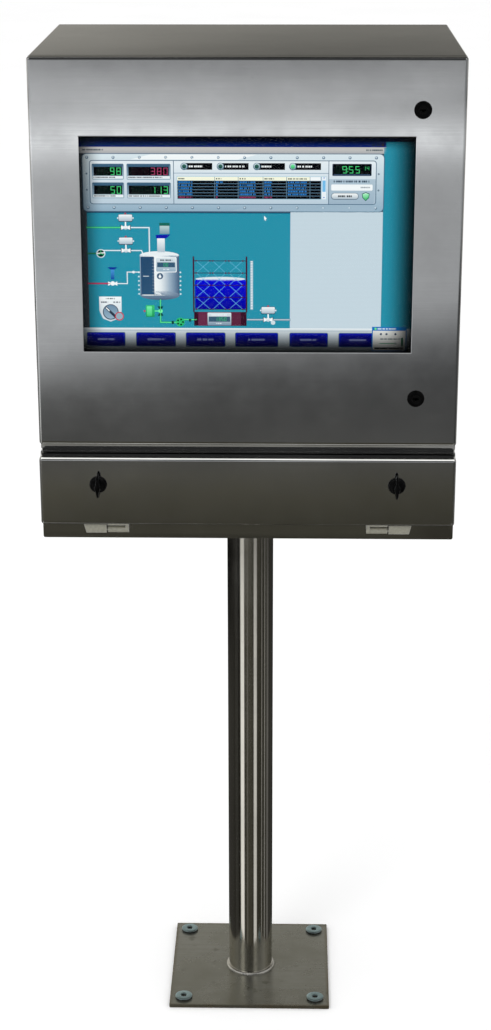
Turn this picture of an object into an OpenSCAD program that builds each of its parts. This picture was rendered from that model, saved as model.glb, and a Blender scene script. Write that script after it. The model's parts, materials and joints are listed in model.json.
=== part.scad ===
// Stainless pedestal operator station: a display enclosure with a touch screen in its
// door, over a keyboard compartment with a fold-down door, on a tube and a base plate.
// Frame: origin under the base plate on the tube's axis, +Z up, the operator at -Y.

/* [Boxes] */
// Width of both boxes and of their doors
box_w = 610; // [600:1:620]
// Depth from the display door's face to the back wall
box_d = 420; // [410:1:430]
// Height of the display enclosure's top above the floor
total_h = 1557; // [1545:1:1580]
// Thickness of the stainless sheet
sheet = 2; // [1.8:0.1:2.2]
// Outside radius of the doors' front bends
bend_r = 4; // [3:0.5:5]
// Width of the flange turned in around each box's opening
rim = 22; // [21:0.5:23]

/* [Display door] */
// Height of the display door
door_h = 559; // [555:1:562]
// Depth of the display door's pan
door_pan = 18; // [17:0.5:18.5]
// Width of the window
window_w = 471; // [465:1:472]
// Height of the window
window_h = 309; // [300:1:312]
// Distance from the door's top edge down to the window
window_drop = 109.5; // [108:0.5:112]
// Distance of the key latches from the door's right edge
latch_inset_x = 61; // [59:0.5:62]
// Distance of the key latches from the door's top and bottom edges
latch_inset_z = 72; // [70:0.5:73]
// Thickness of the touch glass
glass_t = 4; // [3:0.5:4]

/* [Keyboard door] */
// Height of the keyboard door
kdoor_h = 103.5; // [102:0.5:106]
// Depth of the keyboard door's pan
kdoor_pan = 20; // [19:0.5:21]
// How far the keyboard door's face stands in front of the display door's
kdoor_proud = 10; // [9:0.5:11]
// Gap between the two doors
door_gap = 17; // [16:0.5:18]
// Distance of each wing latch from the centre
wing_x = 219; // [215:1:222]
// Height of the wing latches above the keyboard door's lower edge
wing_rise = 62.5; // [61:0.5:64]
// Length of a wing
wing_len = 37; // [34:0.5:38]

/* [Stand] */
// Outside diameter of the pedestal tube
tube_od = 73; // [70:0.5:76]
// Wall of the pedestal tube
tube_wall = 5.2; // [4:0.1:7]
// Side of the square base plate
plate_w = 264; // [256:1:280]
// Thickness of the base plate
plate_t = 6; // [5:0.5:12]
// Distance between the anchor holes
anchor_pitch = 218; // [200:1:220]
// Radius of the anchor holes
anchor_r = 4.5; // [4:0.5:6]
// Outside diameter of the anchor washers
washer_od = 28; // [24:1:30]

/* [Keyboard] */
// Width of the keyboard
keyboard_w = 380; // [340:2:400]
// Depth of the keyboard
keyboard_d = 110; // [100:1:115]
// Height of the keyboard body
keyboard_h = 16; // [12:1:18]
// Depth of the sliding tray
tray_d = 230; // [200:1:240]

/* [Hidden] */
$fn = 64;
HEX = 6;

// Levels, from the floor up
z_top = total_h;
z_door0 = z_top - door_h;
z_split = z_door0 - 13;
z_kdoor1 = z_door0 - door_gap;
z_kdoor0 = z_kdoor1 - kdoor_h;
z_bottom = z_kdoor0 - 28.5;

// Planes, from the operator back
y_face = -box_d / 2;
y_back = box_d / 2;
y_inner = y_face + sheet;
y_rim = y_face + door_pan + 2;
y_lip = y_rim - 11;
y_kface = y_face - kdoor_proud;
y_kinner = y_kface + sheet;
y_krim = y_kface + kdoor_pan + 3;
y_klip = y_krim - 13;

// Openings inside the rims
half_w = box_w / 2;
open_x = half_w - rim;
open_z0 = z_door0 + 20;
open_z1 = z_top - rim;
kopen_z0 = z_kdoor0 + 12.5;
kopen_z1 = z_kdoor1 - 14;
seal_half = 5;

// Window and what sits behind it
win_z = z_top - window_drop - window_h / 2;
glass_over = 12;
glass_w = window_w + 2 * glass_over;
glass_h = window_h + 2 * glass_over;
frame_over = 9;
frame_w = glass_w + 2 * frame_over;
frame_h = glass_h + 2 * frame_over;
lcd_w = glass_w - 8;
lcd_h = glass_h - 8;
cover_gap = 0.5;
cover_t = 1.5;
y_glass = y_inner + 2;
y_frame = y_glass + glass_t;
y_flange = y_frame + 3;
y_nut = y_flange + cover_t;
y_lcd = y_frame + 15;
y_cover = y_frame + 52;
stud_r = 2.5;
stud_off = frame_over / 2;
stud_spots = concat(
    [for (x = [-200, -67, 67, 200], s = [-1, 1]) [x, s * (glass_h / 2 + stud_off)]],
    [for (z = [-90, 0, 90], s = [-1, 1]) [s * (glass_w / 2 + stud_off), z]]);

// Display door hinges: axis inside the pan, close to its left edge
hinge_x = -half_w + 5;
hinge_y = y_face + 10;
hinge_zs = [z_door0 + 100, z_top - 100];
knuckle_r = 4.5;
knuckle_half = 12;
hinge_pin_r = 2;
run_fit = 0.05;

// Key latches of the display door
latch_x = half_w - latch_inset_x;
latch_zs = [z_door0 + latch_inset_z, z_top - latch_inset_z];
latch_r = 9.5;
insert_r = 6.25;
cam_square = 8;
cam_t = 3;
cam_half_w = 8;
cam_reach = 46;
y_cam = y_rim + sheet + 2;

// Wing latches of the keyboard door
wing_z = z_kdoor0 + wing_rise;
wing_disc_r = 13;
y_kcam = y_krim + sheet + 2;
kcam_reach = 38;

// Keyboard door hinges: axis below the door, in front of the lower strip
kpin_y = y_kface + 14;
kpin_z = z_kdoor0 - 11.5;
kpin_r = 2.5;
kbarrel_r = 5;

// Tray and its rails
tray_z = z_kdoor0 + 36.5;
tray_half = 245;
tray_y0 = y_kface + 95;
rail_x = tray_half + 5;

// Stand
tube_r = tube_od / 2;
weld_leg = 5;
flange_w = 150;
flange_t = 8;
flange_pitch = 110;
gasket_t = 2;
z_flange = z_bottom - gasket_t - flange_t;
cable_r = 25;
doubler_t = 4;

// Joint between the boxes
m8_r = 4;
m8_hex_r = 7.5;
m8_head = 5.3;
m8_nut = 6.5;
m8_clear = 4.5;
grommet_at = [-150, 120];
grommet_r = 30;
joint_spots = [for (x = [-260, 260], y = [-150, 20, 170]) [x, y]];

// Mounting plate in the display enclosure
panel_t = 3;
y_panel = y_back - sheet - 25 - panel_t;
panel_w = 540;
panel_h = 480;
panel_z = (z_split + z_top) / 2;
panel_spots = [for (x = [-240, 240], z = [-215, 215]) [x, panel_z + z]];
rail_z = panel_z - 145;
y_hat = y_panel - 7.5;

// Rear gland and floor breather
gland_at = [180, z_bottom + 50];
gland_r = 10;
gland_bore = 5;
breather_at = [-240, 150];
breather_r = 6;

// ---- drawing helpers: each takes a flat outline and gives it a span along one axis

module along_x(x0, x1) {
    translate([x0, 0, 0]) rotate([90, 0, 90]) linear_extrude(x1 - x0) children();
}

module along_y(y0, y1) {
    translate([0, y1, 0]) rotate([90, 0, 0]) linear_extrude(y1 - y0) children();
}

module along_z(z0, z1) {
    translate([0, 0, z0]) linear_extrude(z1 - z0) children();
}

module block(x0, x1, y0, y1, z0, z1) {
    translate([x0, y0, z0]) cube([x1 - x0, y1 - y0, z1 - z0]);
}

module rod_x(y, z, x0, x1, r) {
    translate([x0, y, z]) rotate([0, 90, 0]) cylinder(h = x1 - x0, r = r);
}

module rod_y(x, z, y0, y1, r, sides = 64) {
    translate([x, y1, z]) rotate([90, 0, 0]) cylinder(h = y1 - y0, r = r, $fn = sides);
}

module rod_z(x, y, z0, z1, r, sides = 64) {
    translate([x, y, z0]) cylinder(h = z1 - z0, r = r, $fn = sides);
}

module span(x0, x1, z0, z1) {
    translate([x0, z0]) square([x1 - x0, z1 - z0]);
}

module round_span(x0, x1, z0, z1, r) {
    span(x0 + r, x1 - r, z0, z1);
    span(x0, x1, z0 + r, z1 - r);
    for (x = [x0 + r, x1 - r], z = [z0 + r, z1 - r])
        translate([x, z]) circle(r);
}

module span_ring(x, z0, z1, t) {
    difference() {
        span(-x - t, x + t, z0 - t, z1 + t);
        span(-x, x, z0, z1);
    }
}

// Outline of a pan across its depth: the two front corners are rounded
module pan_outline(a0, a1, y0, y1, r) {
    span(a0, a1, y0 + r, y1);
    span(a0 + r, a1 - r, y0, y1);
    for (a = [a0 + r, a1 - r])
        translate([a, y0 + r]) circle(r);
}

// Solid pan block with its four front edges bent to a radius
module pan_block(half, z0, z1, y0, y1, r) {
    intersection() {
        along_z(z0, z1) pan_outline(-half, half, y0, y1, r);
        along_x(-half, half) mirror([1, -1]) pan_outline(z0, z1, y0, y1, r);
    }
}

module door_pan_shell(z0, z1, y0, y1) {
    difference() {
        pan_block(half_w, z0, z1, y0, y1, bend_r);
        pan_block(half_w - sheet, z0 + sheet, z1 - sheet, y0 + sheet, y1 + 1, bend_r - sheet);
    }
}

// Five-sided box with a flange turned in around its opening and a lip turned forward
module rimmed_box(z0, z1, y0, lip_y, oz0, oz1) {
    difference() {
        along_y(y0, y_back) round_span(-half_w, half_w, z0, z1, 3);
        along_y(y0 + sheet, y_back - sheet)
            round_span(-half_w + sheet, half_w - sheet, z0 + sheet, z1 - sheet, 1);
        along_y(y0 - 1, y0 + sheet + 1) span(-open_x, open_x, oz0, oz1);
    }
    along_y(lip_y, y0 + sheet) span_ring(open_x, oz0, oz1, sheet);
}

module hex_bolt_up(x, y, z_head, length) {
    rod_z(x, y, z_head - m8_head, z_head, m8_hex_r, HEX);
    rod_z(x, y, z_head, z_head + length, m8_r);
}

module hex_bolt_down(x, y, z_head, length) {
    rod_z(x, y, z_head, z_head + m8_head, m8_hex_r, HEX);
    rod_z(x, y, z_head - length, z_head, m8_r);
}

module hex_nut_z(x, y, z0) {
    difference() {
        rod_z(x, y, z0, z0 + m8_nut, m8_hex_r, HEX);
        rod_z(x, y, z0 - 1, z0 + m8_nut + 1, m8_r + 0.02);
    }
}

module square_spots(pitch) {
    for (x = [-pitch / 2, pitch / 2], y = [-pitch / 2, pitch / 2])
        translate([x, y]) children();
}

// ---- stand

module base_plate() {
    color("dimgray") along_z(0, plate_t) difference() {
        round_span(-plate_w / 2, plate_w / 2, -plate_w / 2, plate_w / 2, 2);
        square_spots(anchor_pitch) circle(anchor_r);
        circle(cable_r);
    }
}

module anchor_ring(z0, z1, r) {
    along_z(z0, z1) square_spots(anchor_pitch) difference() {
        circle(r);
        circle(anchor_r);
    }
}

module anchor_seals() {
    color("black") anchor_ring(plate_t, plate_t + 2, washer_od / 2);
}

module anchor_washers() {
    color("lightblue") anchor_ring(plate_t + 2, plate_t + 4.5, washer_od / 2);
}

module weld_fillet(up) {
    rotate_extrude() translate([tube_r, 0]) intersection() {
        circle(weld_leg);
        translate([0, up ? 0 : -weld_leg]) square(weld_leg);
    }
}

module tube_welds() {
    color("silver") {
        translate([0, 0, plate_t]) weld_fillet(true);
        translate([0, 0, z_flange]) weld_fillet(false);
    }
}

module pedestal_tube() {
    color("gainsboro") along_z(plate_t, z_flange) difference() {
        circle(tube_r);
        circle(tube_r - tube_wall);
    }
}

module flange_outline(side) {
    difference() {
        round_span(-side / 2, side / 2, -side / 2, side / 2, 6);
        square_spots(flange_pitch) circle(m8_clear);
        circle(cable_r);
    }
}

module top_flange() {
    color("gray") along_z(z_flange, z_flange + flange_t) flange_outline(flange_w);
}

module flange_gasket() {
    color("black") along_z(z_bottom - gasket_t, z_bottom) flange_outline(flange_w);
}

module floor_doubler() {
    color("gray") along_z(z_bottom + sheet, z_bottom + sheet + doubler_t) flange_outline(180);
}

module flange_bolts() {
    grip = flange_t + gasket_t + sheet + doubler_t;
    color("silver") square_spots(flange_pitch) hex_bolt_up(0, 0, z_flange, grip + m8_nut + 3);
}

module flange_nuts() {
    color("silver") square_spots(flange_pitch) hex_nut_z(0, 0, z_bottom + sheet + doubler_t);
}

// ---- the two boxes

module keyboard_housing() {
    color("darkolivegreen") difference() {
        rimmed_box(z_bottom, z_split, y_krim, y_klip, kopen_z0, kopen_z1);
        along_z(z_bottom - 1, z_bottom + sheet + 1) {
            square_spots(flange_pitch) circle(m8_clear);
            circle(cable_r);
        }
        rod_z(breather_at[0], breather_at[1], z_bottom - 1, z_bottom + sheet + 1, breather_r);
        rod_z(grommet_at[0], grommet_at[1], z_split - sheet - 1, z_split + 1, grommet_r);
        for (p = joint_spots)
            rod_z(p[0], p[1], z_split - sheet - 1, z_split + 1, m8_clear);
        rod_y(gland_at[0], gland_at[1], y_back - sheet - 1, y_back + 1, gland_r);
    }
}

module enclosure_body() {
    color("darkgray") difference() {
        rimmed_box(z_split, z_top, y_rim, y_lip, open_z0, open_z1);
        rod_z(grommet_at[0], grommet_at[1], z_split - 1, z_split + sheet + 1, grommet_r);
        for (p = joint_spots)
            rod_z(p[0], p[1], z_split - 1, z_split + sheet + 1, m8_clear);
    }
}

module joint_bolts() {
    color("silver") for (p = joint_spots)
        hex_bolt_down(p[0], p[1], z_split + sheet, 2 * sheet + m8_nut + 3);
}

module joint_nuts() {
    color("silver") for (p = joint_spots)
        hex_nut_z(p[0], p[1], z_split - sheet - m8_nut);
}

module cable_grommet() {
    wall = 4;
    brim = 5;
    color("black") translate([grommet_at[0], grommet_at[1], 0]) difference() {
        union() {
            rod_z(0, 0, z_split - sheet - 3, z_split - sheet, grommet_r + brim);
            rod_z(0, 0, z_split - sheet - 1, z_split + sheet + 1, grommet_r);
            rod_z(0, 0, z_split + sheet, z_split + sheet + 3, grommet_r + brim);
        }
        rod_z(0, 0, z_split - 20, z_split + 20, grommet_r - wall);
    }
}

// ---- equipment in the display enclosure

module mounting_plate() {
    color("lightgray") along_y(y_panel, y_panel + panel_t) difference() {
        round_span(-panel_w / 2, panel_w / 2, panel_z - panel_h / 2, panel_z + panel_h / 2, 5);
        for (p = panel_spots)
            translate(p) circle(m8_clear);
    }
}

module mounting_studs() {
    color("silver") for (p = panel_spots) {
        rod_y(p[0], p[1], y_panel + panel_t, y_back - sheet, 8);
        rod_y(p[0], p[1], y_panel - 12, y_panel + panel_t + 1, m8_r);
    }
}

module mounting_nuts() {
    color("silver") for (p = panel_spots)
        difference() {
            rod_y(p[0], p[1], y_panel - m8_nut, y_panel, m8_hex_r, HEX);
            rod_y(p[0], p[1], y_panel - m8_nut - 1, y_panel + 1, m8_r + 0.02);
        }
}

module industrial_computer() {
    x0 = -235;
    x1 = 0;
    z0 = panel_z - 70;
    z1 = panel_z + 150;
    y0 = y_panel - 60;
    fin = 15;
    pitch = 12;
    color("slategray") {
        block(x0, x1, y0, y_panel, z0, z1);
        for (x = [x0 + 8:pitch:x1 - 10])
            block(x, x + 3, y0 - fin, y0 + 1, z0 + 5, z1 - 5);
        for (z = [z0 - 12, z1])
            block(x0 + 20, x1 - 20, y_panel - 2, y_panel, z, z + 12);
    }
    color("black") for (i = [0:4])
        block(x0 + 25 + 40 * i, x0 + 50 + 40 * i, y0 + 15, y0 + 27, z0 - 3, z0);
}

module hat_profile() {
    span(y_panel - 1, y_panel, rail_z - 13.5, rail_z + 13.5);
    for (s = [-1, 1]) {
        translate([0, s * 13]) span(y_hat, y_panel, rail_z - 0.5, rail_z + 0.5);
        translate([0, s * 15]) span(y_hat, y_hat + 1, rail_z - 2.5, rail_z + 2.5);
    }
}

module din_rail() {
    color("silver") along_x(-250, 250) hat_profile();
}

// A module clipped on the rail: its hooks reach behind the rail's brims
module rail_module(x0, x1, depth, height) {
    block(x0, x1, y_hat - depth, y_hat, rail_z - height / 2, rail_z + height / 2);
    for (z = [rail_z - 20.7, rail_z + 17.7])
        block(x0, x1, y_hat - 1, y_hat + 3.5, z, z + 3);
}

module power_supply() {
    x0 = -235;
    x1 = -165;
    color("gray") difference() {
        rail_module(x0, x1, 110, 125);
        for (z = [rail_z - 45:6:rail_z + 45])
            block(x0 + 10, x1 - 10, y_hat - 111, y_hat - 108, z, z + 3);
    }
}

module terminal_blocks() {
    pitch = 8.2;
    color("beige") for (i = [0:17])
        difference() {
            rail_module(-120 + pitch * i, -112 + pitch * i, 46, 52);
            rod_y(-116 + pitch * i, rail_z + 18, y_hat - 47, y_hat - 30, 2);
            rod_y(-116 + pitch * i, rail_z - 18, y_hat - 47, y_hat - 30, 2);
        }
}

module cable_gland() {
    color("dimgray") translate([gland_at[0], 0, gland_at[1]]) difference() {
        union() {
            rod_y(0, 0, y_back - 14, y_back, gland_r - 0.1);
            rod_y(0, 0, y_back, y_back + 10, 14, HEX);
            rod_y(0, 0, y_back + 10, y_back + 24, 12.5);
            rod_y(0, 0, y_back + 24, y_back + 28, 9.5);
        }
        rod_y(0, 0, y_back - 15, y_back + 29, gland_bore);
    }
}

module gland_locknut() {
    color("dimgray") difference() {
        rod_y(gland_at[0], gland_at[1], y_back - sheet - 6, y_back - sheet, 14, HEX);
        rod_y(gland_at[0], gland_at[1], y_back - 20, y_back, gland_r);
    }
}

module earth_stud() {
    x = 240;
    y = 100;
    color("goldenrod") {
        rod_z(x, y, z_split + sheet, z_split + sheet + 24, m8_r);
        hex_nut_z(x, y, z_split + sheet + 2);
    }
}

module drain_breather() {
    x = breather_at[0];
    y = breather_at[1];
    color("black") difference() {
        union() {
            rod_z(x, y, z_bottom - 6, z_bottom, 10);
            rod_z(x, y, z_bottom - 1, z_bottom + sheet + 8, breather_r - 0.05);
        }
        rod_z(x, y, z_bottom - 7, z_bottom + sheet + 9, 2.5);
    }
}

// ---- display door

module door_hinge_arms() {
    color("silver") for (z = hinge_zs)
        difference() {
            union() {
                rod_z(hinge_x, hinge_y, z - knuckle_half, z + knuckle_half, knuckle_r);
                block(hinge_x - knuckle_r, hinge_x + knuckle_r, hinge_y, y_rim,
                    z - knuckle_half, z + knuckle_half);
                block(hinge_x - 3, hinge_x + 12, y_rim - 2, y_rim,
                    z - knuckle_half, z + knuckle_half);
            }
            rod_z(hinge_x, hinge_y, z - 20, z + 20, hinge_pin_r + 0.02);
        }
}

module door_hinge_pins() {
    color("gainsboro") for (z = hinge_zs)
        rod_z(hinge_x, hinge_y, z - 2 * knuckle_half, z + 2 * knuckle_half, hinge_pin_r);
}

module door_hinge_blocks() {
    color("silver") for (z = hinge_zs, s = [-1, 1])
        difference() {
            translate([0, 0, z + s * (1.5 * knuckle_half + 0.15)])
                along_z(-knuckle_half / 2 + 0.15, knuckle_half / 2 - 0.15) intersection() {
                    span(-half_w + sheet, hinge_x + 7, y_inner, hinge_y + 4.5);
                    pan_outline(-half_w + sheet, half_w - sheet, y_inner, y_rim, bend_r);
                }
            rod_z(hinge_x, hinge_y, z - 40, z + 40, hinge_pin_r + run_fit);
        }
}

module display_door_panel() {
    color("silver") {
        difference() {
            door_pan_shell(z_door0, z_top, y_face, y_face + door_pan);
            along_y(y_face - 1, y_inner + 1) {
                span(-window_w / 2, window_w / 2, win_z - window_h / 2, win_z + window_h / 2);
                for (z = latch_zs)
                    translate([latch_x, z]) circle(latch_r + 0.1);
            }
            for (z = hinge_zs)
                block(-half_w - 1, -half_w + sheet + 0.1, y_inner + 0.6, y_rim,
                    z - knuckle_half - 1, z + knuckle_half + 1);
        }
        for (p = stud_spots)
            rod_y(p[0], win_z + p[1], y_inner - 0.5, y_nut + 6, stud_r);
    }
}

module door_gasket() {
    color("black") along_y(y_inner, y_lip)
        span_ring(open_x - seal_half + sheet / 2, open_z0 + seal_half - sheet / 2,
            open_z1 - seal_half + sheet / 2, 2 * seal_half);
}

module glass_seal() {
    edge = 1.5;
    color("black") along_y(y_inner, y_glass) difference() {
        round_span(-glass_w / 2, glass_w / 2, win_z - glass_h / 2, win_z + glass_h / 2, 3);
        span(-window_w / 2 - edge, window_w / 2 + edge,
            win_z - window_h / 2 - edge, win_z + window_h / 2 + edge);
    }
}

module touch_glass() {
    color("lightcyan") along_y(y_glass, y_frame)
        round_span(-glass_w / 2, glass_w / 2, win_z - glass_h / 2, win_z + glass_h / 2, 3);
}

module lcd_module() {
    color("teal") along_y(y_frame, y_lcd)
        span(-lcd_w / 2, lcd_w / 2, win_z - lcd_h / 2, win_z + lcd_h / 2);
}

module frame_outline(w, h) {
    difference() {
        round_span(-frame_w / 2, frame_w / 2, win_z - frame_h / 2, win_z + frame_h / 2, 4);
        span(-w / 2, w / 2, win_z - h / 2, win_z + h / 2);
        for (p = stud_spots)
            translate([p[0], win_z + p[1]]) circle(stud_r + 0.3);
    }
}

module retaining_frame() {
    color("gray") along_y(y_frame, y_flange)
        frame_outline(lcd_w + 2 * cover_gap, lcd_h + 2 * cover_gap);
}

module frame_nuts() {
    color("silver") for (p = stud_spots)
        difference() {
            rod_y(p[0], win_z + p[1], y_nut, y_nut + 4, 4.4, HEX);
            rod_y(p[0], win_z + p[1], y_nut - 1, y_nut + 5, stud_r + 0.02);
        }
}

module display_cover() {
    w = lcd_w + 2 * cover_gap;
    h = lcd_h + 2 * cover_gap;
    slot_l = 60;
    color("darkgray") {
        along_y(y_flange, y_nut) frame_outline(w, h);
        along_y(y_flange, y_cover) difference() {
            span(-w / 2 - cover_t, w / 2 + cover_t,
                win_z - h / 2 - cover_t, win_z + h / 2 + cover_t);
            span(-w / 2, w / 2, win_z - h / 2, win_z + h / 2);
        }
        along_y(y_cover - cover_t, y_cover) difference() {
            span(-w / 2 - cover_t, w / 2 + cover_t,
                win_z - h / 2 - cover_t, win_z + h / 2 + cover_t);
            for (x = [-140, 0, 140], i = [-4:4])
                translate([x, win_z + 12 * i]) round_span(-slot_l / 2, slot_l / 2, -2, 2, 1.9);
        }
    }
}

module display_controller() {
    y0 = y_lcd + 12;
    color("green") along_y(y0, y0 + 1.6) span(-100, 100, win_z - 60, win_z + 60);
    color("green") for (x = [-90, 90], z = [-50, 50])
        rod_y(x, win_z + z, y_lcd, y0 + 0.2, 3);
    color("black") {
        block(-25, 25, y0 + 1.6, y0 + 5, win_z - 25, win_z + 25);
        for (x = [-80, -45, 50])
            block(x, x + 28, y0 + 1.6, y0 + 9, win_z - 58, win_z - 48);
    }
}

module latch_housing(x, z, face, back, disc_r, disc_t) {
    difference() {
        union() {
            rod_y(x, z, face - disc_t, face, disc_r);
            rod_y(x, z, face - 1, back, latch_r);
        }
        rod_y(x, z, face - disc_t - 1, back + 1, insert_r + run_fit);
    }
}

module latch_nut(x, z, y0) {
    difference() {
        rod_y(x, z, y0, y0 + 5, 13.5, HEX);
        rod_y(x, z, y0 - 1, y0 + 6, latch_r + 0.05);
    }
}

// Cam plate reaching from the latch axis at an angle, 0 to the right, 90 up
module latch_cam(x, z, y0, reach, angle) {
    translate([x, 0, z]) rotate([0, -angle, 0]) along_y(y0, y0 + cam_t) difference() {
        union() {
            circle(cam_half_w + 2);
            span(0, reach - cam_half_w, -cam_half_w, cam_half_w);
            translate([reach - cam_half_w, 0]) circle(cam_half_w);
        }
        square(cam_square, center = true);
    }
}

module cam_shaft(x, z, y0, y1) {
    rod_y(x, z, y0, y1, insert_r);
    side = cam_square / 2 - 0.05;
    block(x - side, x + side, y1 - 1, y1 + cam_t + 2, z - side, z + side);
}

module key_latch_housings() {
    color("black") for (z = latch_zs)
        latch_housing(latch_x, z, y_face, y_rim, 12.5, 3);
}

module key_latch_nuts() {
    color("silver") for (z = latch_zs)
        latch_nut(latch_x, z, y_inner);
}

// Rotating insert with a two-winged key well in its face
module key_insert(z) {
    well_r = 2.6;
    color("dimgray") difference() {
        cam_shaft(latch_x, z, y_face - 2.2, y_cam);
        rod_y(latch_x, z, y_face - 3, y_face + 5, well_r);
        block(latch_x - 4.6, latch_x + 4.6, y_face - 3, y_face + 5, z - 1, z + 1);
    }
}

module upper_latch_insert() {
    key_insert(latch_zs[1]);
}

module upper_latch_cam() {
    color("silver") latch_cam(latch_x, latch_zs[1], y_cam, cam_reach, 90);
}

module lower_latch_insert() {
    key_insert(latch_zs[0]);
}

module lower_latch_cam() {
    color("silver") latch_cam(latch_x, latch_zs[0], y_cam, cam_reach, -90);
}

// ---- keyboard door

module mirrored_pair() {
    children();
    mirror([1, 0, 0]) children();
}

// Fixed hinge half: a tapered block on the strip under the door
module housing_hinge_leaves() {
    color("silver") mirrored_pair() difference() {
        intersection() {
            along_y(kpin_y - 8, y_krim)
                polygon([[209, kpin_z + 11], [243, kpin_z + 11], [239, kpin_z - 4], [209, kpin_z - 4]]);
            along_x(200, 250) polygon([[y_krim, kpin_z + 11], [kpin_y, kpin_z + 11],
                [kpin_y - 6, kpin_z + 9], [kpin_y - 6, kpin_z - 4], [y_krim, kpin_z - 4]]);
        }
        rod_x(kpin_y, kpin_z, 200, 237, kpin_r + 0.02);
    }
}

module housing_hinge_pins() {
    color("gainsboro") mirrored_pair() rod_x(kpin_y, kpin_z, 178, 236, kpin_r);
}

// Moving hinge half: a barrel hung from a strap under the door's lower edge
module keyboard_door_hinges() {
    color("silver") mirrored_pair() difference() {
        union() {
            rod_x(kpin_y, kpin_z, 176, 207, kbarrel_r);
            block(176, 207, kpin_y - 10, kpin_y + 5, z_kdoor0 - 2.5, z_kdoor0);
            block(176, 207, kpin_y + 2, kpin_y + kbarrel_r, kpin_z, z_kdoor0);
            block(176, 181, kpin_y - kbarrel_r, kpin_y + kbarrel_r, kpin_z, z_kdoor0);
        }
        rod_x(kpin_y, kpin_z, 177.5, 208, kpin_r + run_fit);
    }
}

module keyboard_door_panel() {
    color("dimgray") difference() {
        door_pan_shell(z_kdoor0, z_kdoor1, y_kface, y_kface + kdoor_pan);
        for (x = [-wing_x, wing_x])
            rod_y(x, wing_z, y_kface - 1, y_kinner + 1, latch_r + 0.1);
    }
}

module keyboard_door_gasket() {
    color("black") along_y(y_kinner, y_klip)
        span_ring(open_x - seal_half + sheet / 2, kopen_z0 + seal_half - sheet / 2,
            kopen_z1 - seal_half + sheet / 2, 2 * seal_half);
}

module wing_latch_housings() {
    color("black") for (x = [-wing_x, wing_x])
        latch_housing(x, wing_z, y_kface, y_krim, wing_disc_r, 3);
}

module wing_latch_nuts() {
    color("silver") for (x = [-wing_x, wing_x])
        latch_nut(x, wing_z, y_kinner);
}

// Knob: a round base with an upright wing, on the latch's shaft
module wing_knob(x) {
    base_y = y_kface - 3.2;
    half_t = 2.75;
    tip_r = 3;
    color("black") {
        rod_y(x, wing_z, base_y - 3.5, base_y, wing_disc_r - 1.5);
        cam_shaft(x, wing_z, base_y - 1, y_kcam);
        along_x(x - half_t, x + half_t)
            round_span(base_y - 19, base_y - 2, wing_z - wing_len / 2, wing_z + wing_len / 2, tip_r);
    }
}

module left_wing_knob() {
    wing_knob(-wing_x);
}

module right_wing_knob() {
    wing_knob(wing_x);
}

module left_wing_cam() {
    color("silver") latch_cam(-wing_x, wing_z, y_kcam, kcam_reach, 0);
}

module right_wing_cam() {
    color("silver") latch_cam(wing_x, wing_z, y_kcam, kcam_reach, 180);
}

// ---- keyboard tray

module tray_outer_rails() {
    y0 = tray_y0 - 25;
    y1 = tray_y0 + tray_d;
    color("silver") mirrored_pair() {
        block(rail_x + 5, rail_x + 7, y0, y1, tray_z, tray_z + 12);
        for (z = [tray_z, tray_z + 10.5])
            block(rail_x, rail_x + 7, y0, y1, z, z + 1.5);
        for (y = [y0 + 50, y1 - 60])
            block(rail_x + 6, half_w - sheet, y, y + 20, tray_z + 4, tray_z + 8);
    }
}

module tray_inner_rails() {
    color("gainsboro") mirrored_pair()
        block(tray_half, rail_x + 4.5, tray_y0 + 5, tray_y0 + tray_d - 5, tray_z + 2, tray_z + 10);
}

module tray_pan() {
    wall_h = 12;
    t = 1.5;
    color("gray") {
        block(-tray_half, tray_half, tray_y0, tray_y0 + tray_d, tray_z, tray_z + t);
        for (x = [-tray_half, tray_half - t])
            block(x, x + t, tray_y0, tray_y0 + tray_d, tray_z, tray_z + wall_h);
        block(-tray_half, tray_half, tray_y0 + tray_d - t, tray_y0 + tray_d, tray_z, tray_z + wall_h);
    }
}

// Sealed flat keyboard: the key fields are low pads of one moulded skin
module keyboard() {
    key = 15;
    pitch = 18;
    columns = 16;
    z0 = tray_z + 1.5;
    y0 = tray_y0 + 6;
    x0 = -keyboard_w / 2 + 12;
    rows = 5;
    color("darkslategray") {
        along_z(z0, z0 + keyboard_h)
            round_span(-keyboard_w / 2, keyboard_w / 2, y0, y0 + keyboard_d, 6);
        for (i = [0:columns - 1], j = [0:rows - 1])
            if (j > 0 || i < 3 || i > 9)
                block(x0 + pitch * i, x0 + pitch * i + key, y0 + 10 + pitch * j,
                    y0 + 10 + pitch * j + key, z0 + keyboard_h - 0.5, z0 + keyboard_h + 0.8);
        block(x0 + 3 * pitch, x0 + 9 * pitch + key, y0 + 10, y0 + 10 + key,
            z0 + keyboard_h - 0.5, z0 + keyboard_h + 0.8);
        block(x0 + columns * pitch + 4, keyboard_w / 2 - 8, y0 + 22, y0 + 88,
            z0 + keyboard_h - 0.5, z0 + keyboard_h + 0.5);
    }
}

base_plate();
anchor_seals();
anchor_washers();
tube_welds();
pedestal_tube();
top_flange();
flange_gasket();
flange_bolts();
flange_nuts();
floor_doubler();
keyboard_housing();
enclosure_body();
joint_bolts();
joint_nuts();
cable_grommet();
mounting_plate();
mounting_studs();
mounting_nuts();
industrial_computer();
din_rail();
power_supply();
terminal_blocks();
cable_gland();
gland_locknut();
earth_stud();
drain_breather();
door_hinge_arms();
door_hinge_pins();
display_door_panel();
door_gasket();
glass_seal();
touch_glass();
lcd_module();
retaining_frame();
frame_nuts();
display_controller();
display_cover();
door_hinge_blocks();
key_latch_housings();
key_latch_nuts();
upper_latch_insert();
upper_latch_cam();
lower_latch_insert();
lower_latch_cam();
housing_hinge_leaves();
housing_hinge_pins();
keyboard_door_panel();
keyboard_door_gasket();
keyboard_door_hinges();
wing_latch_housings();
wing_latch_nuts();
left_wing_knob();
left_wing_cam();
right_wing_knob();
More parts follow.
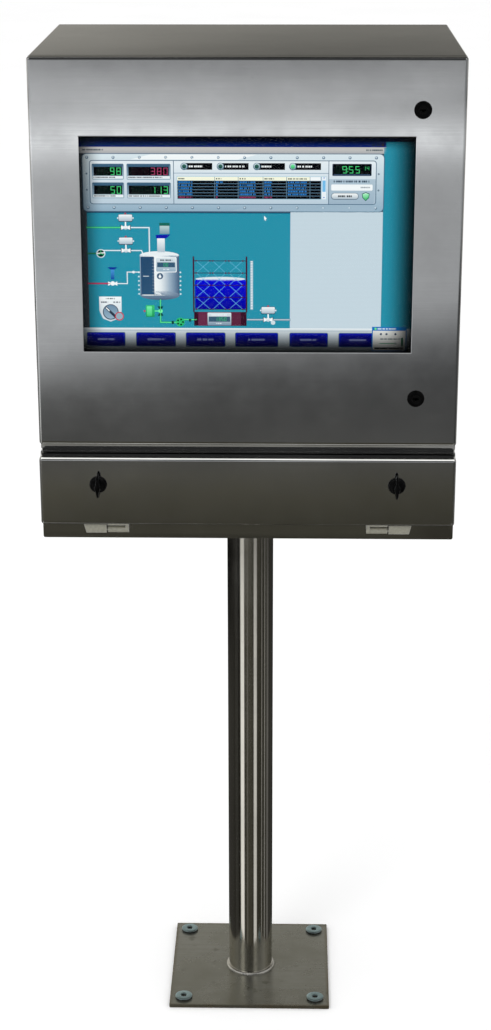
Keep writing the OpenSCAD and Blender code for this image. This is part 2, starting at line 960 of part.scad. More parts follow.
right_wing_cam();
tray_outer_rails();
tray_inner_rails();
tray_pan();
keyboard();
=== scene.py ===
import json
import math
import random

import bmesh
import bpy
from mathutils import Matrix, Vector


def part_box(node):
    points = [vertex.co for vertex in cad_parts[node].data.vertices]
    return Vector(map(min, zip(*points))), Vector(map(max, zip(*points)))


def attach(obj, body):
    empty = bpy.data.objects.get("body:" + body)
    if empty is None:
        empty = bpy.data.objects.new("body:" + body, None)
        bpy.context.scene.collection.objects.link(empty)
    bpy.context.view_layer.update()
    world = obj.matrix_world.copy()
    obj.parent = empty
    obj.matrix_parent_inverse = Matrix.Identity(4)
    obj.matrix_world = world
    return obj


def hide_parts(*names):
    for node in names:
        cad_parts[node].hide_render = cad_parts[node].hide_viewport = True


# Looks of a stainless pedestal operator station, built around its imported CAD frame.
# Frame: metres, +Z up, the operator at -Y. Shapes are drawn in millimetres and scaled
# to metres when a piece is made.

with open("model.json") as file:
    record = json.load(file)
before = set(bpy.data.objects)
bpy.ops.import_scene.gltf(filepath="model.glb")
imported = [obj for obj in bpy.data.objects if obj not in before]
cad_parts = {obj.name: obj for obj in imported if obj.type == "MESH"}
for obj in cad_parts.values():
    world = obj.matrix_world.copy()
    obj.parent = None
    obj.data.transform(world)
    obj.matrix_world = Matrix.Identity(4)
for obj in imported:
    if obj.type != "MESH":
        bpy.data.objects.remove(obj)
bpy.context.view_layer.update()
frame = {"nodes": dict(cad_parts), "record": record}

MM = 0.001
CAPTION_SEED = 7
dice = random.Random(CAPTION_SEED)
finished = set()  # CAD nodes that have a finished piece


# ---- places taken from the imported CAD


def box(node):
    """Lowest and highest corner of a CAD node, in millimetres."""
    lo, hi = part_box(node)
    return lo / MM, hi / MM


DOOR_LO, DOOR_HI = box("display_door_panel")
KDOOR_LO, KDOOR_HI = box("keyboard_door_panel")
BODY_BACK = box("enclosure_body")[1].y
GLASS_LO, GLASS_HI = box("touch_glass")
TUBE_LO, TUBE_HI = box("pedestal_tube")
SHEET = 2.0  # thickness of the doors' sheet
PAN_DEPTH = 18.0  # from the display door's face to its folded back edge
BEND = 4.0  # outer radius of a door's folds
LATCH_BORE, LATCH_BARREL, LATCH_HOLE = 6.3, 9.5, 9.7  # radii: bore, thread, hole in the door
GLASS_MARGIN = 12.0  # the glass reaches this far behind the door around the window
WIN_LO = GLASS_LO + Vector((GLASS_MARGIN, 0, GLASS_MARGIN))
WIN_HI = GLASS_HI - Vector((GLASS_MARGIN, 0, GLASS_MARGIN))
SLOTTED = ("power_supply",)  # its face has slots, so its flats keep their triangles
BODY_OF = {
    node: body
    for body, nodes in frame["record"]["behaviour"]["bodies"].items()
    for node in nodes
}
SLOT_OF = {part["node"]: part["material_slot"] for part in frame["record"]["subparts"]}


# ---- node graph helpers


def tree_of(*values):
    """The node tree of the first socket among the values."""
    return next(v.id_data for v in values if isinstance(v, bpy.types.NodeSocket))


def new_material(name):
    """A material, its node tree and the coordinates of a piece in metres."""
    material = bpy.data.materials.new(name)
    material.use_nodes = True
    tree = material.node_tree
    tree.nodes.clear()
    return material, tree, tree.nodes.new("ShaderNodeTexCoord").outputs["Object"]


def connect(socket, value):
    """Links an input to a socket, or sets it to a plain value."""
    if isinstance(value, bpy.types.NodeSocket):
        socket.id_data.links.new(value, socket)
    else:
        socket.default_value = value


def put(tree, kind, settings=None, **sockets):
    """Adds a node; a keyword sets the input of that name."""
    node = tree.nodes.new(kind)
    for key, value in (settings or {}).items():
        setattr(node, key, value)
    for key, value in sockets.items():
        connect(node.inputs[key.replace("_", " ")], value)
    return node


def fill(node, *values):
    """Sets a node's first inputs in their order and gives its first output."""
    for socket, value in zip(node.inputs, values):
        connect(socket, value)
    return node.outputs[0]


def calc(operation, *values):
    return fill(put(tree_of(*values), "ShaderNodeMath", {"operation": operation}), *values)


def plus(a, b):
    return calc("ADD", a, b)


def minus(a, b):
    return calc("SUBTRACT", a, b)


def times(a, b):
    return calc("MULTIPLY", a, b)


def absolute(a):
    return calc("ABSOLUTE", a)


def blend_colour(factor, a, b, mode="MIX"):
    node = put(tree_of(factor, a, b), "ShaderNodeMix", {"data_type": "RGBA", "blend_type": mode})
    for k, value in ((0, factor), (6, a), (7, b)):
        connect(node.inputs[k], value)
    return node.outputs[2]


def remap(value, low, high, to_low=0.0, to_high=1.0, smooth=False):
    kind = "SMOOTHSTEP" if smooth else "LINEAR"
    node = put(value.id_data, "ShaderNodeMapRange", {"interpolation_type": kind})
    return fill(node, value, low, high, to_low, to_high)


def noise(coord, scale, detail=3.0, roughness=0.55, stretch=(1, 1, 1)):
    """Noise over a piece; scale is waves a metre, stretch multiplies it by axis."""
    tree = coord.id_data
    mapping = put(tree, "ShaderNodeMapping", Vector=coord, Scale=stretch)
    return put(tree, "ShaderNodeTexNoise", Vector=mapping.outputs[0],
               Scale=scale, Detail=detail, Roughness=roughness).outputs[0]


def bump(height, distance, strength=1.0, normal=None):
    node = put(height.id_data, "ShaderNodeBump", Height=height, Distance=distance, Strength=strength)
    if normal is not None:
        connect(node.inputs["Normal"], normal)
    return node.outputs[0]


def grey(value):
    return (value, value, value, 1.0)


def rgb(r, g, b):
    """Linear colour of a screen colour given as 0 to 255."""
    def linear(c):
        c = c / 255
        return c / 12.92 if c <= 0.04045 else ((c + 0.055) / 1.055) ** 2.4
    return (linear(r), linear(g), linear(b), 1.0)


def scaled(colour, factor, lift=0.0):
    """A colour made darker or lighter."""
    return tuple(min(1.0, c * factor + lift) for c in colour[:3]) + (1.0,)


def finish_shader(tree, **sockets):
    shader = put(tree, "ShaderNodeBsdfPrincipled", **sockets)
    put(tree, "ShaderNodeOutputMaterial", Surface=shader.outputs[0])


def worn_edges(tree, reach=0.0009):
    """One along outer and inner corners, fading to zero on the flats."""
    rolled_normal = put(tree, "ShaderNodeBevel", {"samples": 4}, Radius=reach).outputs[0]
    true_normal = tree.nodes.new("ShaderNodeNewGeometry").outputs["Normal"]
    same = put(tree, "ShaderNodeVectorMath", {"operation": "DOT_PRODUCT"})
    fill(same, rolled_normal, true_normal)
    return remap(same.outputs["Value"], 0.995, 0.90)


# ---- materials


def sheet_metal(name, tint, roughness, grain_depth, waviness, upright=False, anisotropy=0.3, turn=0.0):
    """Brushed sheet: fine parallel grain, cloudy smudges, faint waves, brighter edges."""
    material, tree, place = new_material(name)
    fine, along, smudge = 900.0, 4.0, 0.02
    normal_z = put(tree, "ShaderNodeSeparateXYZ", Vector=place.node.outputs["Normal"]).outputs[2]
    level = calc("GREATER_THAN", absolute(normal_z), 0.7)
    side_grain = noise(place, 1.0, 4.0, 0.7, (fine, fine, along) if upright else (along, along, fine))
    top_grain = noise(place, 1.0, 4.0, 0.7, (along, fine, along))
    grain = plus(times(side_grain, minus(1.0, level)), times(top_grain, level))
    cloud = noise(place, 5.0, 5.0, 0.6)
    patch = noise(place, 22.0, 4.0, 0.65)
    wave = noise(place, 2.6, 1.0, 0.4)
    colour = blend_colour(remap(cloud, 0.3, 0.7), scaled(tint, 0.86), scaled(tint, 1.10))
    colour = blend_colour(remap(grain, 0.35, 0.65, 0.0, 0.22), colour, scaled(tint, 0.8))
    colour = blend_colour(worn_edges(tree), colour, grey(0.86))
    rough = plus(roughness, remap(patch, 0.3, 0.75, -smudge, smudge))
    rough = plus(rough, remap(grain, 0.3, 0.7, -0.015, 0.015))
    normal = bump(grain, grain_depth, 0.6, bump(wave, waviness))
    finish_shader(tree, Base_Color=colour, Metallic=1.0, Roughness=rough, Normal=normal,
                  Anisotropic=anisotropy, Anisotropic_Rotation=turn)
    return material


def worked_metal(name, tint, roughness, fleck_scale, fleck, metallic=1.0, edge=0.75):
    """Turned, zinced or cast metal: flecked colour, uneven gloss, bright edges."""
    material, tree, place = new_material(name)
    flecks = noise(place, fleck_scale, 5.0, 0.7)
    cloud = noise(place, 35.0, 3.0, 0.5)
    colour = blend_colour(remap(flecks, 0.3, 0.7), scaled(tint, 1.0 - fleck), scaled(tint, 1.0 + fleck * 0.6))
    colour = blend_colour(worn_edges(tree), colour, grey(edge))
    rough = plus(roughness, remap(cloud, 0.3, 0.7, -0.07, 0.07))
    finish_shader(tree, Base_Color=colour, Metallic=metallic, Roughness=rough,
                  Normal=bump(flecks, 0.00004))
    return material


def moulded(name, tint, roughness, relief=0.00003, scale=900.0, sheen=0.0, edge=0.10, specular=0.5):
    """Moulded plastic or rubber: fine moulding texture, dusty patches, paler rubbed edges."""
    material, tree, place = new_material(name)
    skin = noise(place, scale, 3.0, 0.6)
    dust = noise(place, 30.0, 4.0, 0.6)
    colour = blend_colour(remap(dust, 0.3, 0.7), scaled(tint, 0.75), scaled(tint, 1.25, 0.001))
    colour = blend_colour(worn_edges(tree), colour, scaled(tint, 1.0, edge))
    rough = plus(roughness, remap(dust, 0.3, 0.7, -0.08, 0.08))
    finish_shader(tree, Base_Color=colour, Roughness=rough, Normal=bump(skin, relief),
                  Sheen_Weight=sheen, Specular_IOR_Level=specular)
    return material


def stained_plate():
    """Mill-finish plate: blotches, darker spots, rolling streaks and a rusty rim."""
    material, tree, place = new_material("mill_plate")
    rim_start, rim_end = 0.126, 0.132
    blotch = noise(place, 9.0, 6.0, 0.65)
    spots = noise(place, 42.0, 2.0, 0.4)
    streak = noise(place, 1.0, 4.0, 0.7, (6.0, 160.0, 6.0))
    colour = blend_colour(remap(blotch, 0.3, 0.7), rgb(118, 117, 104), rgb(150, 149, 140))
    colour = blend_colour(remap(spots, 0.66, 0.74, 0.0, 0.45), colour, rgb(78, 76, 62))
    colour = blend_colour(remap(streak, 0.4, 0.7, 0.0, 0.25), colour, rgb(104, 101, 88))
    corners = put(tree, "ShaderNodeVectorMath", {"operation": "ABSOLUTE"}, Vector=place)
    xyz = put(tree, "ShaderNodeSeparateXYZ", Vector=corners.outputs[0])
    reach = calc("MAXIMUM", xyz.outputs[0], xyz.outputs[1])
    rim = times(remap(reach, rim_start, rim_end), remap(blotch, 0.35, 0.6))
    colour = blend_colour(times(rim, 0.7), colour, rgb(96, 80, 48))
    normal = bump(streak, 0.00004, 1.0, bump(blotch, 0.0002))
    finish_shader(tree, Base_Color=colour, Metallic=0.85, Normal=normal,
                  Roughness=remap(blotch, 0.3, 0.7, 0.22, 0.32))
    return material


def clear_glass():
    """Window pane with faint smears; the low IOR keeps its reflections weak."""
    material, tree, place = new_material("touch_glass_clear")
    smear = noise(place, 14.0, 5.0, 0.7)
    finish_shader(tree, Base_Color=(0.97, 0.99, 0.985, 1.0), Transmission_Weight=1.0, IOR=1.08,
                  Roughness=remap(smear, 0.45, 0.8, 0.0, 0.06))
    return material


def circuit_board():
    """Solder mask with traces and pads."""
    material, tree, place = new_material("circuit_board")
    traces = put(tree, "ShaderNodeTexBrick", Vector=place, Scale=260.0, Mortar_Size=0.06,
                 Color1=(0.008, 0.075, 0.03, 1.0), Color2=(0.010, 0.060, 0.026, 1.0),
                 Mortar=(0.03, 0.17, 0.07, 1.0))
    pads = put(tree, "ShaderNodeTexVoronoi", Vector=place, Scale=330.0)
    dot = calc("LESS_THAN", pads.outputs["Distance"], 0.16)
    colour = blend_colour(dot, traces.outputs["Color"], (0.62, 0.52, 0.22, 1.0))
    normal = bump(traces.outputs["Fac"], 0.00005)
    finish_shader(tree, Base_Color=colour, Roughness=0.32, Normal=normal, Metallic=times(dot, 0.9))
    return material


def lit_picture():
    """The display's picture: drawn colours, a painted shadow of the window's edges darkening its sides, fine
    pixel rows.
    """
    material, tree, place = new_material("display_picture")
    drawn = put(tree, "ShaderNodeAttribute", {"attribute_name": "tint"}).outputs["Color"]
    xyz = put(tree, "ShaderNodeSeparateXYZ", Vector=place)
    x, z = xyz.outputs[0], xyz.outputs[2]
    # painted shadow: the picture's light is dimmed towards the window's left, right, top and bottom edges,
    # standing in for the shade the window's edge casts on the recessed screen
    shade = remap(x, WIN_LO.x * MM - 0.004, WIN_LO.x * MM + 0.034, 0.10, 1.0, True)
    for value, edge, reach, darkest in (
            (x, WIN_HI.x, -0.044, 0.02), (z, WIN_HI.z, -0.022, 0.05), (z, WIN_LO.z, 0.036, 0.04)):
        shade = times(shade, remap(value, edge * MM, edge * MM + reach, darkest, 1.0, True))
    rows = put(tree, "ShaderNodeTexWave", {"bands_direction": "Z"}, Vector=place, Scale=170.0)
    shade = times(shade, remap(rows.outputs["Fac"], 0.0, 1.0, 0.94, 1.02))
    shades = put(tree, "ShaderNodeCombineXYZ", X=shade, Y=shade, Z=shade).outputs[0]
    colour = blend_colour(1.0, drawn, shades, "MULTIPLY")
    grime = noise(place, 12.0, 4.0, 0.6)
    finish_shader(tree, Base_Color=grey(0.002), Emission_Color=colour, Emission_Strength=1.0,
                  Specular_IOR_Level=0.02, Roughness=remap(grime, 0.3, 0.7, 0.35, 0.5))
    return material


MATERIALS = {
    "brushed_stainless": sheet_metal("brushed_stainless", rgb(203, 203, 200), 0.07, 0.000003, 0.0003),
    "polished_stainless": sheet_metal("polished_stainless", rgb(206, 203, 194), 0.11, 0.000002,
                                      0.0001, upright=True, anisotropy=0.85, turn=0.25),
    "mill_steel_plate": stained_plate(),
    "zinc_washer": worked_metal("zinc_washer", rgb(176, 200, 202), 0.38, 260.0, 0.15),
    "black_rubber": moulded("black_rubber", grey(0.008), 0.62, sheen=0.1, edge=0.02, specular=0.3),
    "steel_fastener": worked_metal("steel_fastener", rgb(214, 211, 202), 0.42, 420.0, 0.2, 0.6),
    "galvanised_panel": worked_metal("galvanised_panel", rgb(176, 180, 182), 0.42, 70.0, 0.3),
    "computer_alloy": worked_metal("computer_alloy", rgb(120, 126, 134), 0.45, 700.0, 0.12, 0.7),
    "grey_plastic": moulded("grey_plastic", rgb(150, 152, 150), 0.5),
    "terminal_plastic": moulded("terminal_plastic", rgb(186, 182, 164), 0.45),
    "black_plastic": moulded("black_plastic", grey(0.001), 0.25, edge=0.003, specular=0.06),
    "latch_zinc": worked_metal("latch_zinc", rgb(34, 34, 33), 0.4, 500.0, 0.2, edge=0.03),
    "earth_brass": worked_metal("earth_brass", rgb(206, 168, 88), 0.3, 400.0, 0.2),
    "touch_glass": clear_glass(),
    "lcd_panel": worked_metal("lcd_back_shell", rgb(168, 170, 170), 0.42, 120.0, 0.15),
    "circuit_board": circuit_board(),
    "keyboard_skin": moulded("keyboard_skin", rgb(44, 46, 48), 0.55, 0.00005, 1200.0),
}


# ---- pieces


def placed(name, data):
    """A new object in the scene."""
    obj = bpy.data.objects.new(name, data)
    bpy.context.scene.collection.objects.link(obj)
    return obj


def from_bmesh(name, bm):
    mesh = bpy.data.meshes.new(name)
    bm.to_mesh(mesh)
    bm.free()
    return placed(name, mesh)


def to_metres(bm):
    bmesh.ops.scale(bm, vec=(MM, MM, MM), verts=bm.verts)


def smooth_shade(obj, angle=32):
    obj.data.shade_smooth()
    obj.data.set_sharp_from_angle(angle=math.radians(angle))


def finish_piece(obj, node_names, body, slot, angle=32):
    for node in node_names:
        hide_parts(node)
        finished.add(node)
    obj.data.materials.clear()
    obj.data.materials.append(MATERIALS[slot])
    smooth_shade(obj, angle)
    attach(obj, body)


def keep_flats(obj):
    """Shades large flat faces flat and leaves the rolled edges smooth."""
    modifier = obj.modifiers.new("flats", "WEIGHTED_NORMAL")
    modifier.keep_sharp = True
    modifier.weight = 100


def make(name, bm, nodes, body=None, slot=None, angle=32):
    """Turns a mesh drawn in millimetres into a piece that stands for CAD nodes."""
    to_metres(bm)
    bmesh.ops.recalc_face_normals(bm, faces=bm.faces)
    obj = from_bmesh(name, bm)
    first = nodes[0] if nodes else None
    finish_piece(obj, nodes, body or BODY_OF[first], slot or SLOT_OF[first], angle)
    keep_flats(obj)
    return obj


def refine(node, width=0.35, wide_planes=(), wide=2.0, segments=3):
    """A cleaned copy of a CAD node with rolled edges; outer edges that lie in one of the
    wide_planes (axis, place) get a wider roll, as a bent sheet has."""
    weld, flat, corner, touch = 1e-6, math.radians(0.4), math.radians(30), 1e-5
    bm = bmesh.new()
    bm.from_mesh(frame["nodes"][node].data)
    bmesh.ops.remove_doubles(bm, verts=bm.verts, dist=weld)
    if node not in SLOTTED:
        bmesh.ops.dissolve_limit(bm, angle_limit=flat, verts=bm.verts, edges=bm.edges)
    weights = bm.edges.layers.float.new("bevel_weight_edge")
    lo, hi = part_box(node)
    for edge in bm.edges:
        if len(edge.link_faces) != 2 or edge.calc_face_angle(0.0) < corner:
            continue
        edge[weights] = width / wide if wide_planes else 1.0
        ends = [v.co for v in edge.verts]
        for axis, place in wide_planes:
            rolled_edge = all(abs(p[axis] - place * MM) < touch for p in ends)
            outer = any(all(abs(p[i] - side[i]) < touch for p in ends)
                        for i in range(3) if i != axis for side in (lo, hi))
            if rolled_edge and outer:
                edge[weights] = 1.0
    obj = from_bmesh(node + "_finished", bm)
    finish_piece(obj, [node], BODY_OF[node], SLOT_OF[node])
    modifier = obj.modifiers.new("edges", "BEVEL")
    modifier.width = (wide if wide_planes else width) * MM
    modifier.segments = segments
    modifier.limit_method = "WEIGHT"
    modifier.harden_normals = True
    modifier.use_clamp_overlap = True
    return obj


def rect_ring(bm, x0, x1, v0, v1, depth, r, steps=5, flat=False):
    """Ring of vertices around a rounded rectangle, upright at a depth or flat at a height."""
    ring = []
    corners = ((x1 - r, v1 - r, 0), (x0 + r, v1 - r, 90), (x0 + r, v0 + r, 180), (x1 - r, v0 + r, 270))
    for cx, cv, start in corners:
        for i in range(steps + 1):
            a = math.radians(start + 90 * i / steps)
            x, v = cx + r * math.cos(a), cv + r * math.sin(a)
            ring.append(bm.verts.new((x, v, depth) if flat else (x, depth, v)))
    return ring


def bridge(bm, rings, closed=False):
    pairs = list(zip(rings, rings[1:]))
    if closed:
        pairs.append((rings[-1], rings[0]))
    for a, b in pairs:
        n = len(a)
        for i in range(n):
            bm.faces.new((a[i], a[(i + 1) % n], b[(i + 1) % n], b[i]))


def solid(bm, rings):
    """Skin over rings with a cap at both ends."""
    bridge(bm, rings)
    for ring in (rings[0], rings[-1]):
        bm.faces.new(ring)


def door_pan(bm, lo, hi, back, window=None):
    """Folded door: face, bent edges, returns and inner side, open at the window if any."""
    face = lo.y
    steps = 7
    edge = 0.5
    corner = 0.4
    rings = []

    def frame_ring(inset, y, radius):
        rings.append(rect_ring(bm, lo.x + inset, hi.x - inset, lo.z + inset, hi.z - inset, y, radius))

    if window:
        w_lo, w_hi = window
        for out, y in ((0, face + SHEET), (0, face + edge), (0.15 * edge, face + 0.15 * edge),
                       (edge, face), (edge + 1.0, face)):
            rings.append(rect_ring(bm, w_lo.x - out, w_hi.x + out, w_lo.z - out, w_hi.z + out,
                                   y, 0.6 + out))
    frame_ring(BEND + 1.0, face, corner)
    for i in range(steps + 1):
        a = math.radians(90 * i / steps)
        frame_ring(BEND * (1 - math.sin(a)), face + BEND * (1 - math.cos(a)),
                   corner + (BEND - corner) * math.sin(a))
    frame_ring(0, back - edge, BEND)
    frame_ring(edge, back, BEND)
    frame_ring(SHEET, back, BEND - SHEET + corner)
    inner = BEND - SHEET
    for i in range(steps, -1, -1):
        a = math.radians(90 * i / steps)
        frame_ring(SHEET + inner * (1 - math.sin(a)), face + SHEET + inner * (1 - math.cos(a)),
                   0.3 + (inner - 0.3) * math.sin(a))
    if window:
        bridge(bm, rings, closed=True)
    else:
        solid(bm, rings)


def lathe(bm, profile, centre, axis="z", segments=64, closed=True, wobble=None):
    """Turns (radius, place) points around an axis through centre; a profile that isn't
    closed gets a cap at both ends."""
    rings = []
    cx, cy, cz = centre
    for k, (r, h) in enumerate(profile):
        ring = []
        for i in range(segments):
            a = 2 * math.pi * i / segments
            rr = r + (wobble(k, a) if wobble else 0.0)
            u, v = rr * math.cos(a), rr * math.sin(a)
            spot = (cx + u, cy + v, cz + h) if axis == "z" else (cx + u, cy + h, cz + v)
            ring.append(bm.verts.new(spot))
        rings.append(ring)
    if closed:
        bridge(bm, rings, closed=True)
    else:
        solid(bm, rings)


def rolled(points, r=0.4, steps=3):
    """Profile with each corner of a closed point list rounded."""
    out = []
    n = len(points)
    for i in range(n):
        p, q, s = (Vector(points[(i + k) % n]) for k in (-1, 0, 1))
        a, b = (p - q), (s - q)
        cut = min(r, a.length * 0.45, b.length * 0.45)
        start, end = q + a.normalized() * cut, q + b.normalized() * cut
        for j in range(steps + 1):
            t = j / steps
            out.append(tuple(start * (1 - t) ** 2 + q * 2 * t * (1 - t) + end * t ** 2))
    return out


def slab(bm, x0, x1, y0, y1, z0, z1):
    """Six-sided block as part of a larger mesh."""
    matrix = Matrix.Translation(((x0 + x1) / 2, (y0 + y1) / 2, (z0 + z1) / 2))
    matrix = matrix @ Matrix.Diagonal((x1 - x0, y1 - y0, z1 - z0, 1))
    bmesh.ops.create_cube(bm, size=1.0, matrix=matrix)


def cut_away(obj, name, spans, holes=()):
    """Cuts blocks (x0, x1, y0, y1, z0, z1) and holes (x, z, radius, y0, y1) in millimetres
    out of a piece."""
    bm = bmesh.new()
    for span in spans:
        slab(bm, *span)
    for x, z, radius, y0, y1 in holes:
        lathe(bm, [(radius, 0.0), (radius, y1 - y0)], (x, y0, z), "y", 48, closed=False)
    bmesh.ops.recalc_face_normals(bm, faces=bm.faces)
    to_metres(bm)
    cutter = from_bmesh(name, bm)
    modifier = obj.modifiers.new("cut", "BOOLEAN")
    modifier.object = cutter
    modifier.solver = "EXACT"
    bpy.context.view_layer.update()
    evaluated = obj.evaluated_get(bpy.context.evaluated_depsgraph_get())
    cut_mesh = bpy.data.meshes.new_from_object(evaluated)
    obj.modifiers.clear()
    obj.data = cut_mesh
    smooth_shade(obj)
    keep_flats(obj)
    bpy.data.objects.remove(cutter)


def thread(radius, start, end, pitch=0.8, depth=0.35):
    """Profile points of a threaded stretch, as rings."""
    points = []
    h = start
    while h + pitch <= end:
        points += [(radius - depth, h), (radius, h + pitch * 0.5)]
        h += pitch
    points.append((radius - depth, end))
    return points


def latch_holes(spots, face):
    """Holes through a door's face at the latches' places (x, z)."""
    return [(x, z, LATCH_HOLE, face - 1, face + SHEET + 1) for x, z in spots]


def key_latch_spots():
    """Places (x, z) of the key latches, and their radius."""
    lo, hi = box("key_latch_housings")
    r = (hi.x - lo.x) / 2
    return [(lo.x + r, z) for z in (lo.z + r, hi.z - r)], r


def wing_latch_spots():
    """Places (x, z) of the wing latches, and their radius."""
    lo, hi = box("wing_latch_housings")
    r = (hi.z - lo.z) / 2
    return [(x, lo.z + r) for x in (lo.x + r, hi.x - r)], r


def display_door():
    bm = bmesh.new()
    back = DOOR_LO.y + PAN_DEPTH
    door_pan(bm, DOOR_LO, DOOR_HI, back, (WIN_LO, WIN_HI))
    panel = make("display_door_sheet", bm, ["display_door_panel"])
    arms_lo, arms_hi = box("door_hinge_arms")
    tall = 26
    spans = [(DOOR_LO.x - 1, DOOR_LO.x + SHEET + 0.1, DOOR_LO.y + SHEET + 0.6, back + 2, z0, z0 + tall)
             for z0 in (arms_lo.z - 1, arms_hi.z - tall + 1)]
    cut_away(panel, "hinge_notches", spans, latch_holes(key_latch_spots()[0], DOOR_LO.y))


def door_studs():
    """Threaded studs welded inside the display door, under the retaining frame's nuts."""
    lo, hi = box("frame_nuts")
    bm = bmesh.new()
    reach_x, reach_z = (hi.x - 4.4), (hi.z - lo.z) / 2 - 3.8
    mid = (lo.z + hi.z) / 2
    spots = [(x, mid + s * reach_z) for x in (-200, -67, 67, 200) for s in (-1, 1)]
    spots += [(s * reach_x, mid + z) for z in (-90, 0, 90) for s in (-1, 1)]
    start = DOOR_LO.y + SHEET - 0.2
    length = hi.y + 4.0 - start
    profile = [(3.4, 0.0), (2.5, 1.0)] + thread(2.4, 5.0, length) + [(1.2, length + 0.6)]
    for x, z in spots:
        lathe(bm, profile, (x, start, z), "y", 20, closed=False)
    make("door_weld_studs", bm, [], "display_door", "steel_fastener")


def keyboard_door():
    bm = bmesh.new()
    door_pan(bm, KDOOR_LO, KDOOR_HI, KDOOR_HI.y)
    panel = make("keyboard_door_sheet", bm, ["keyboard_door_panel"])
    cut_away(panel, "latch_holes", (), latch_holes(wing_latch_spots()[0], KDOOR_LO.y))


def pedestal_tube():
    r = TUBE_HI.x
    wall = 5.2
    length = TUBE_HI.z - TUBE_LO.z
    bm = bmesh.new()
    profile = rolled([(r, 0), (r, length), (r - wall, length), (r - wall, 0)], 0.5)
    lathe(bm, profile, (0, 0, TUBE_LO.z), "z", 160)
    make("pedestal_tube_polished", bm, ["pedestal_tube"])


def tube_welds():
    """Rippled fillet beads at both ends of the tube."""
    r = TUBE_HI.x
    leg, ripples, arcs = 4.4, 96, 8
    bm = bmesh.new()

    def scallop(k, a):
        if k in (0, arcs + 2):
            return 0.0
        turn = (a * ripples / (2 * math.pi)) % 1.0
        return 0.45 * abs(math.sin(math.pi * turn)) - 0.2 + 0.12 * math.sin(7 * a + k)

    for z, up in ((TUBE_LO.z, 1), (TUBE_HI.z, -1)):
        turns = [math.radians(90 * i / arcs) for i in range(arcs + 1)]
        arc = [(r + leg * math.cos(a), up * leg * math.sin(a)) for a in turns]
        lathe(bm, [(r - 0.4, 0.0)] + arc + [(r - 0.4, up * leg)], (0, 0, z), "z", ripples * 5,
              wobble=scallop)
    make("tube_weld_beads", bm, ["tube_welds"], angle=60)


def anchors():
    lo, hi = box("anchor_washers")
    seal_lo, seal_hi = box("anchor_seals")
    r, hole = 14.0, 4.5
    height, seal_height = hi.z - lo.z, seal_hi.z - seal_lo.z
    washer = rolled([(hole, 0), (r - 0.6, 0), (r, 0.5), (r, height - 0.7), (r - 2.2, height - 0.1),
                     (hole + 1.6, height), (hole, height - 0.5)], 0.45)
    seal = rolled([(hole, 0), (r, 0), (r, seal_height), (hole, seal_height)], 0.7)
    washers, seals = bmesh.new(), bmesh.new()
    for s in (-1, 1):
        for t in (-1, 1):
            x, y = s * (hi.x - r), t * (hi.y - r)
            lathe(washers, washer, (x, y, lo.z), "z", 72)
            lathe(seals, seal, (x, y, seal_lo.z), "z", 72,
                  wobble=lambda k, a: 0.18 * math.sin(5 * a) - 0.2)
    make("anchor_washers_zinc", washers, ["anchor_washers"])
    make("anchor_seals_rubber", seals, ["anchor_seals"])


def latch_bodies(name, node, face, spots):
    """Round housings: the face outline given, then a threaded barrel through the door."""
    lo, hi = box(node)
    depth = hi.y - lo.y
    barrel = [(LATCH_BARREL, 3.0), (LATCH_BARREL, 5.2)] + thread(LATCH_BARREL, 8.5, depth - 0.6, 1.4, 0.5)
    profile = face + barrel + [(LATCH_BARREL - 0.5, depth), (LATCH_BORE, depth)]
    bm = bmesh.new()
    for x, z in spots:
        lathe(bm, profile, (x, lo.y, z), "y", 72)
    make(name, bm, [node])


def key_latches():
    spots, r = key_latch_spots()
    face = [(LATCH_BORE, 0.6), (LATCH_BORE + 0.5, 0.15), (r - 3.2, 0.0), (r - 2.4, 0.25), (r - 1.0, 0.9),
            (r - 0.2, 2.0), (r, 2.9), (r - 0.4, 3.0)]
    latch_bodies("key_latch_bodies", "key_latch_housings", face, spots)
    for node in ("upper_latch_insert", "lower_latch_insert", "upper_latch_cam", "lower_latch_cam",
                 "key_latch_nuts"):
        refine(node, 0.3)


def wing_knob(side):
    """Quarter-turn knob: domed base, waisted wing with a pointer ridge, shaft and square."""
    node = side + "_wing_knob"
    lo, hi = box(node)
    x, z = (lo.x + hi.x) / 2, (lo.z + hi.z) / 2
    base_r = (hi.x - lo.x) / 2
    top = box("wing_latch_housings")[0].y - 0.2
    bm = bmesh.new()
    profile = [(6.2, 0.0), (base_r - 0.3, 0.0), (base_r, -0.6), (base_r - 0.3, -2.2),
               (base_r - 1.4, -3.3), (6.0, -4.6), (2.0, -5.0)]
    lathe(bm, profile, (x, top, z), "y", 64, closed=False)
    half = (hi.z - lo.z) / 2
    back = top - 1.2
    stations, around = 28, 28
    rings = []
    for i in range(1, stations):
        s = -math.cos(math.pi * i / stations)
        thick = 2.75 * (1 - abs(s) ** 5) ** 0.5 + 2.6 * math.exp(-(s / 0.30) ** 2)
        rise = (lo.y - back) * (1 - abs(s) ** 3.2) ** 0.55
        ring = []
        for j in range(around):
            a = 2 * math.pi * j / around
            c, d = math.cos(a), math.sin(a)
            u = thick * math.copysign(abs(c) ** 0.65, c) * (0.82 if d > 0 else 1.0)
            w = 0.5 + 0.5 * math.copysign(abs(d) ** 0.55, d)
            ring.append(bm.verts.new((x + u, back + rise * w, z + half * s)))
        rings.append(ring)
    solid(bm, rings)
    shaft, square, square_length = 6.25, 3.95, 6
    end = hi.y - top - square_length + 1
    lathe(bm, [(shaft, 0.0), (shaft, end - 0.5), (shaft - 0.6, end)], (x, top, z), "y", 48, closed=False)
    slab(bm, x - square, x + square, hi.y - square_length, hi.y, z - square, z + square)
    make(side + "_wing_handle", bm, [node], angle=50)


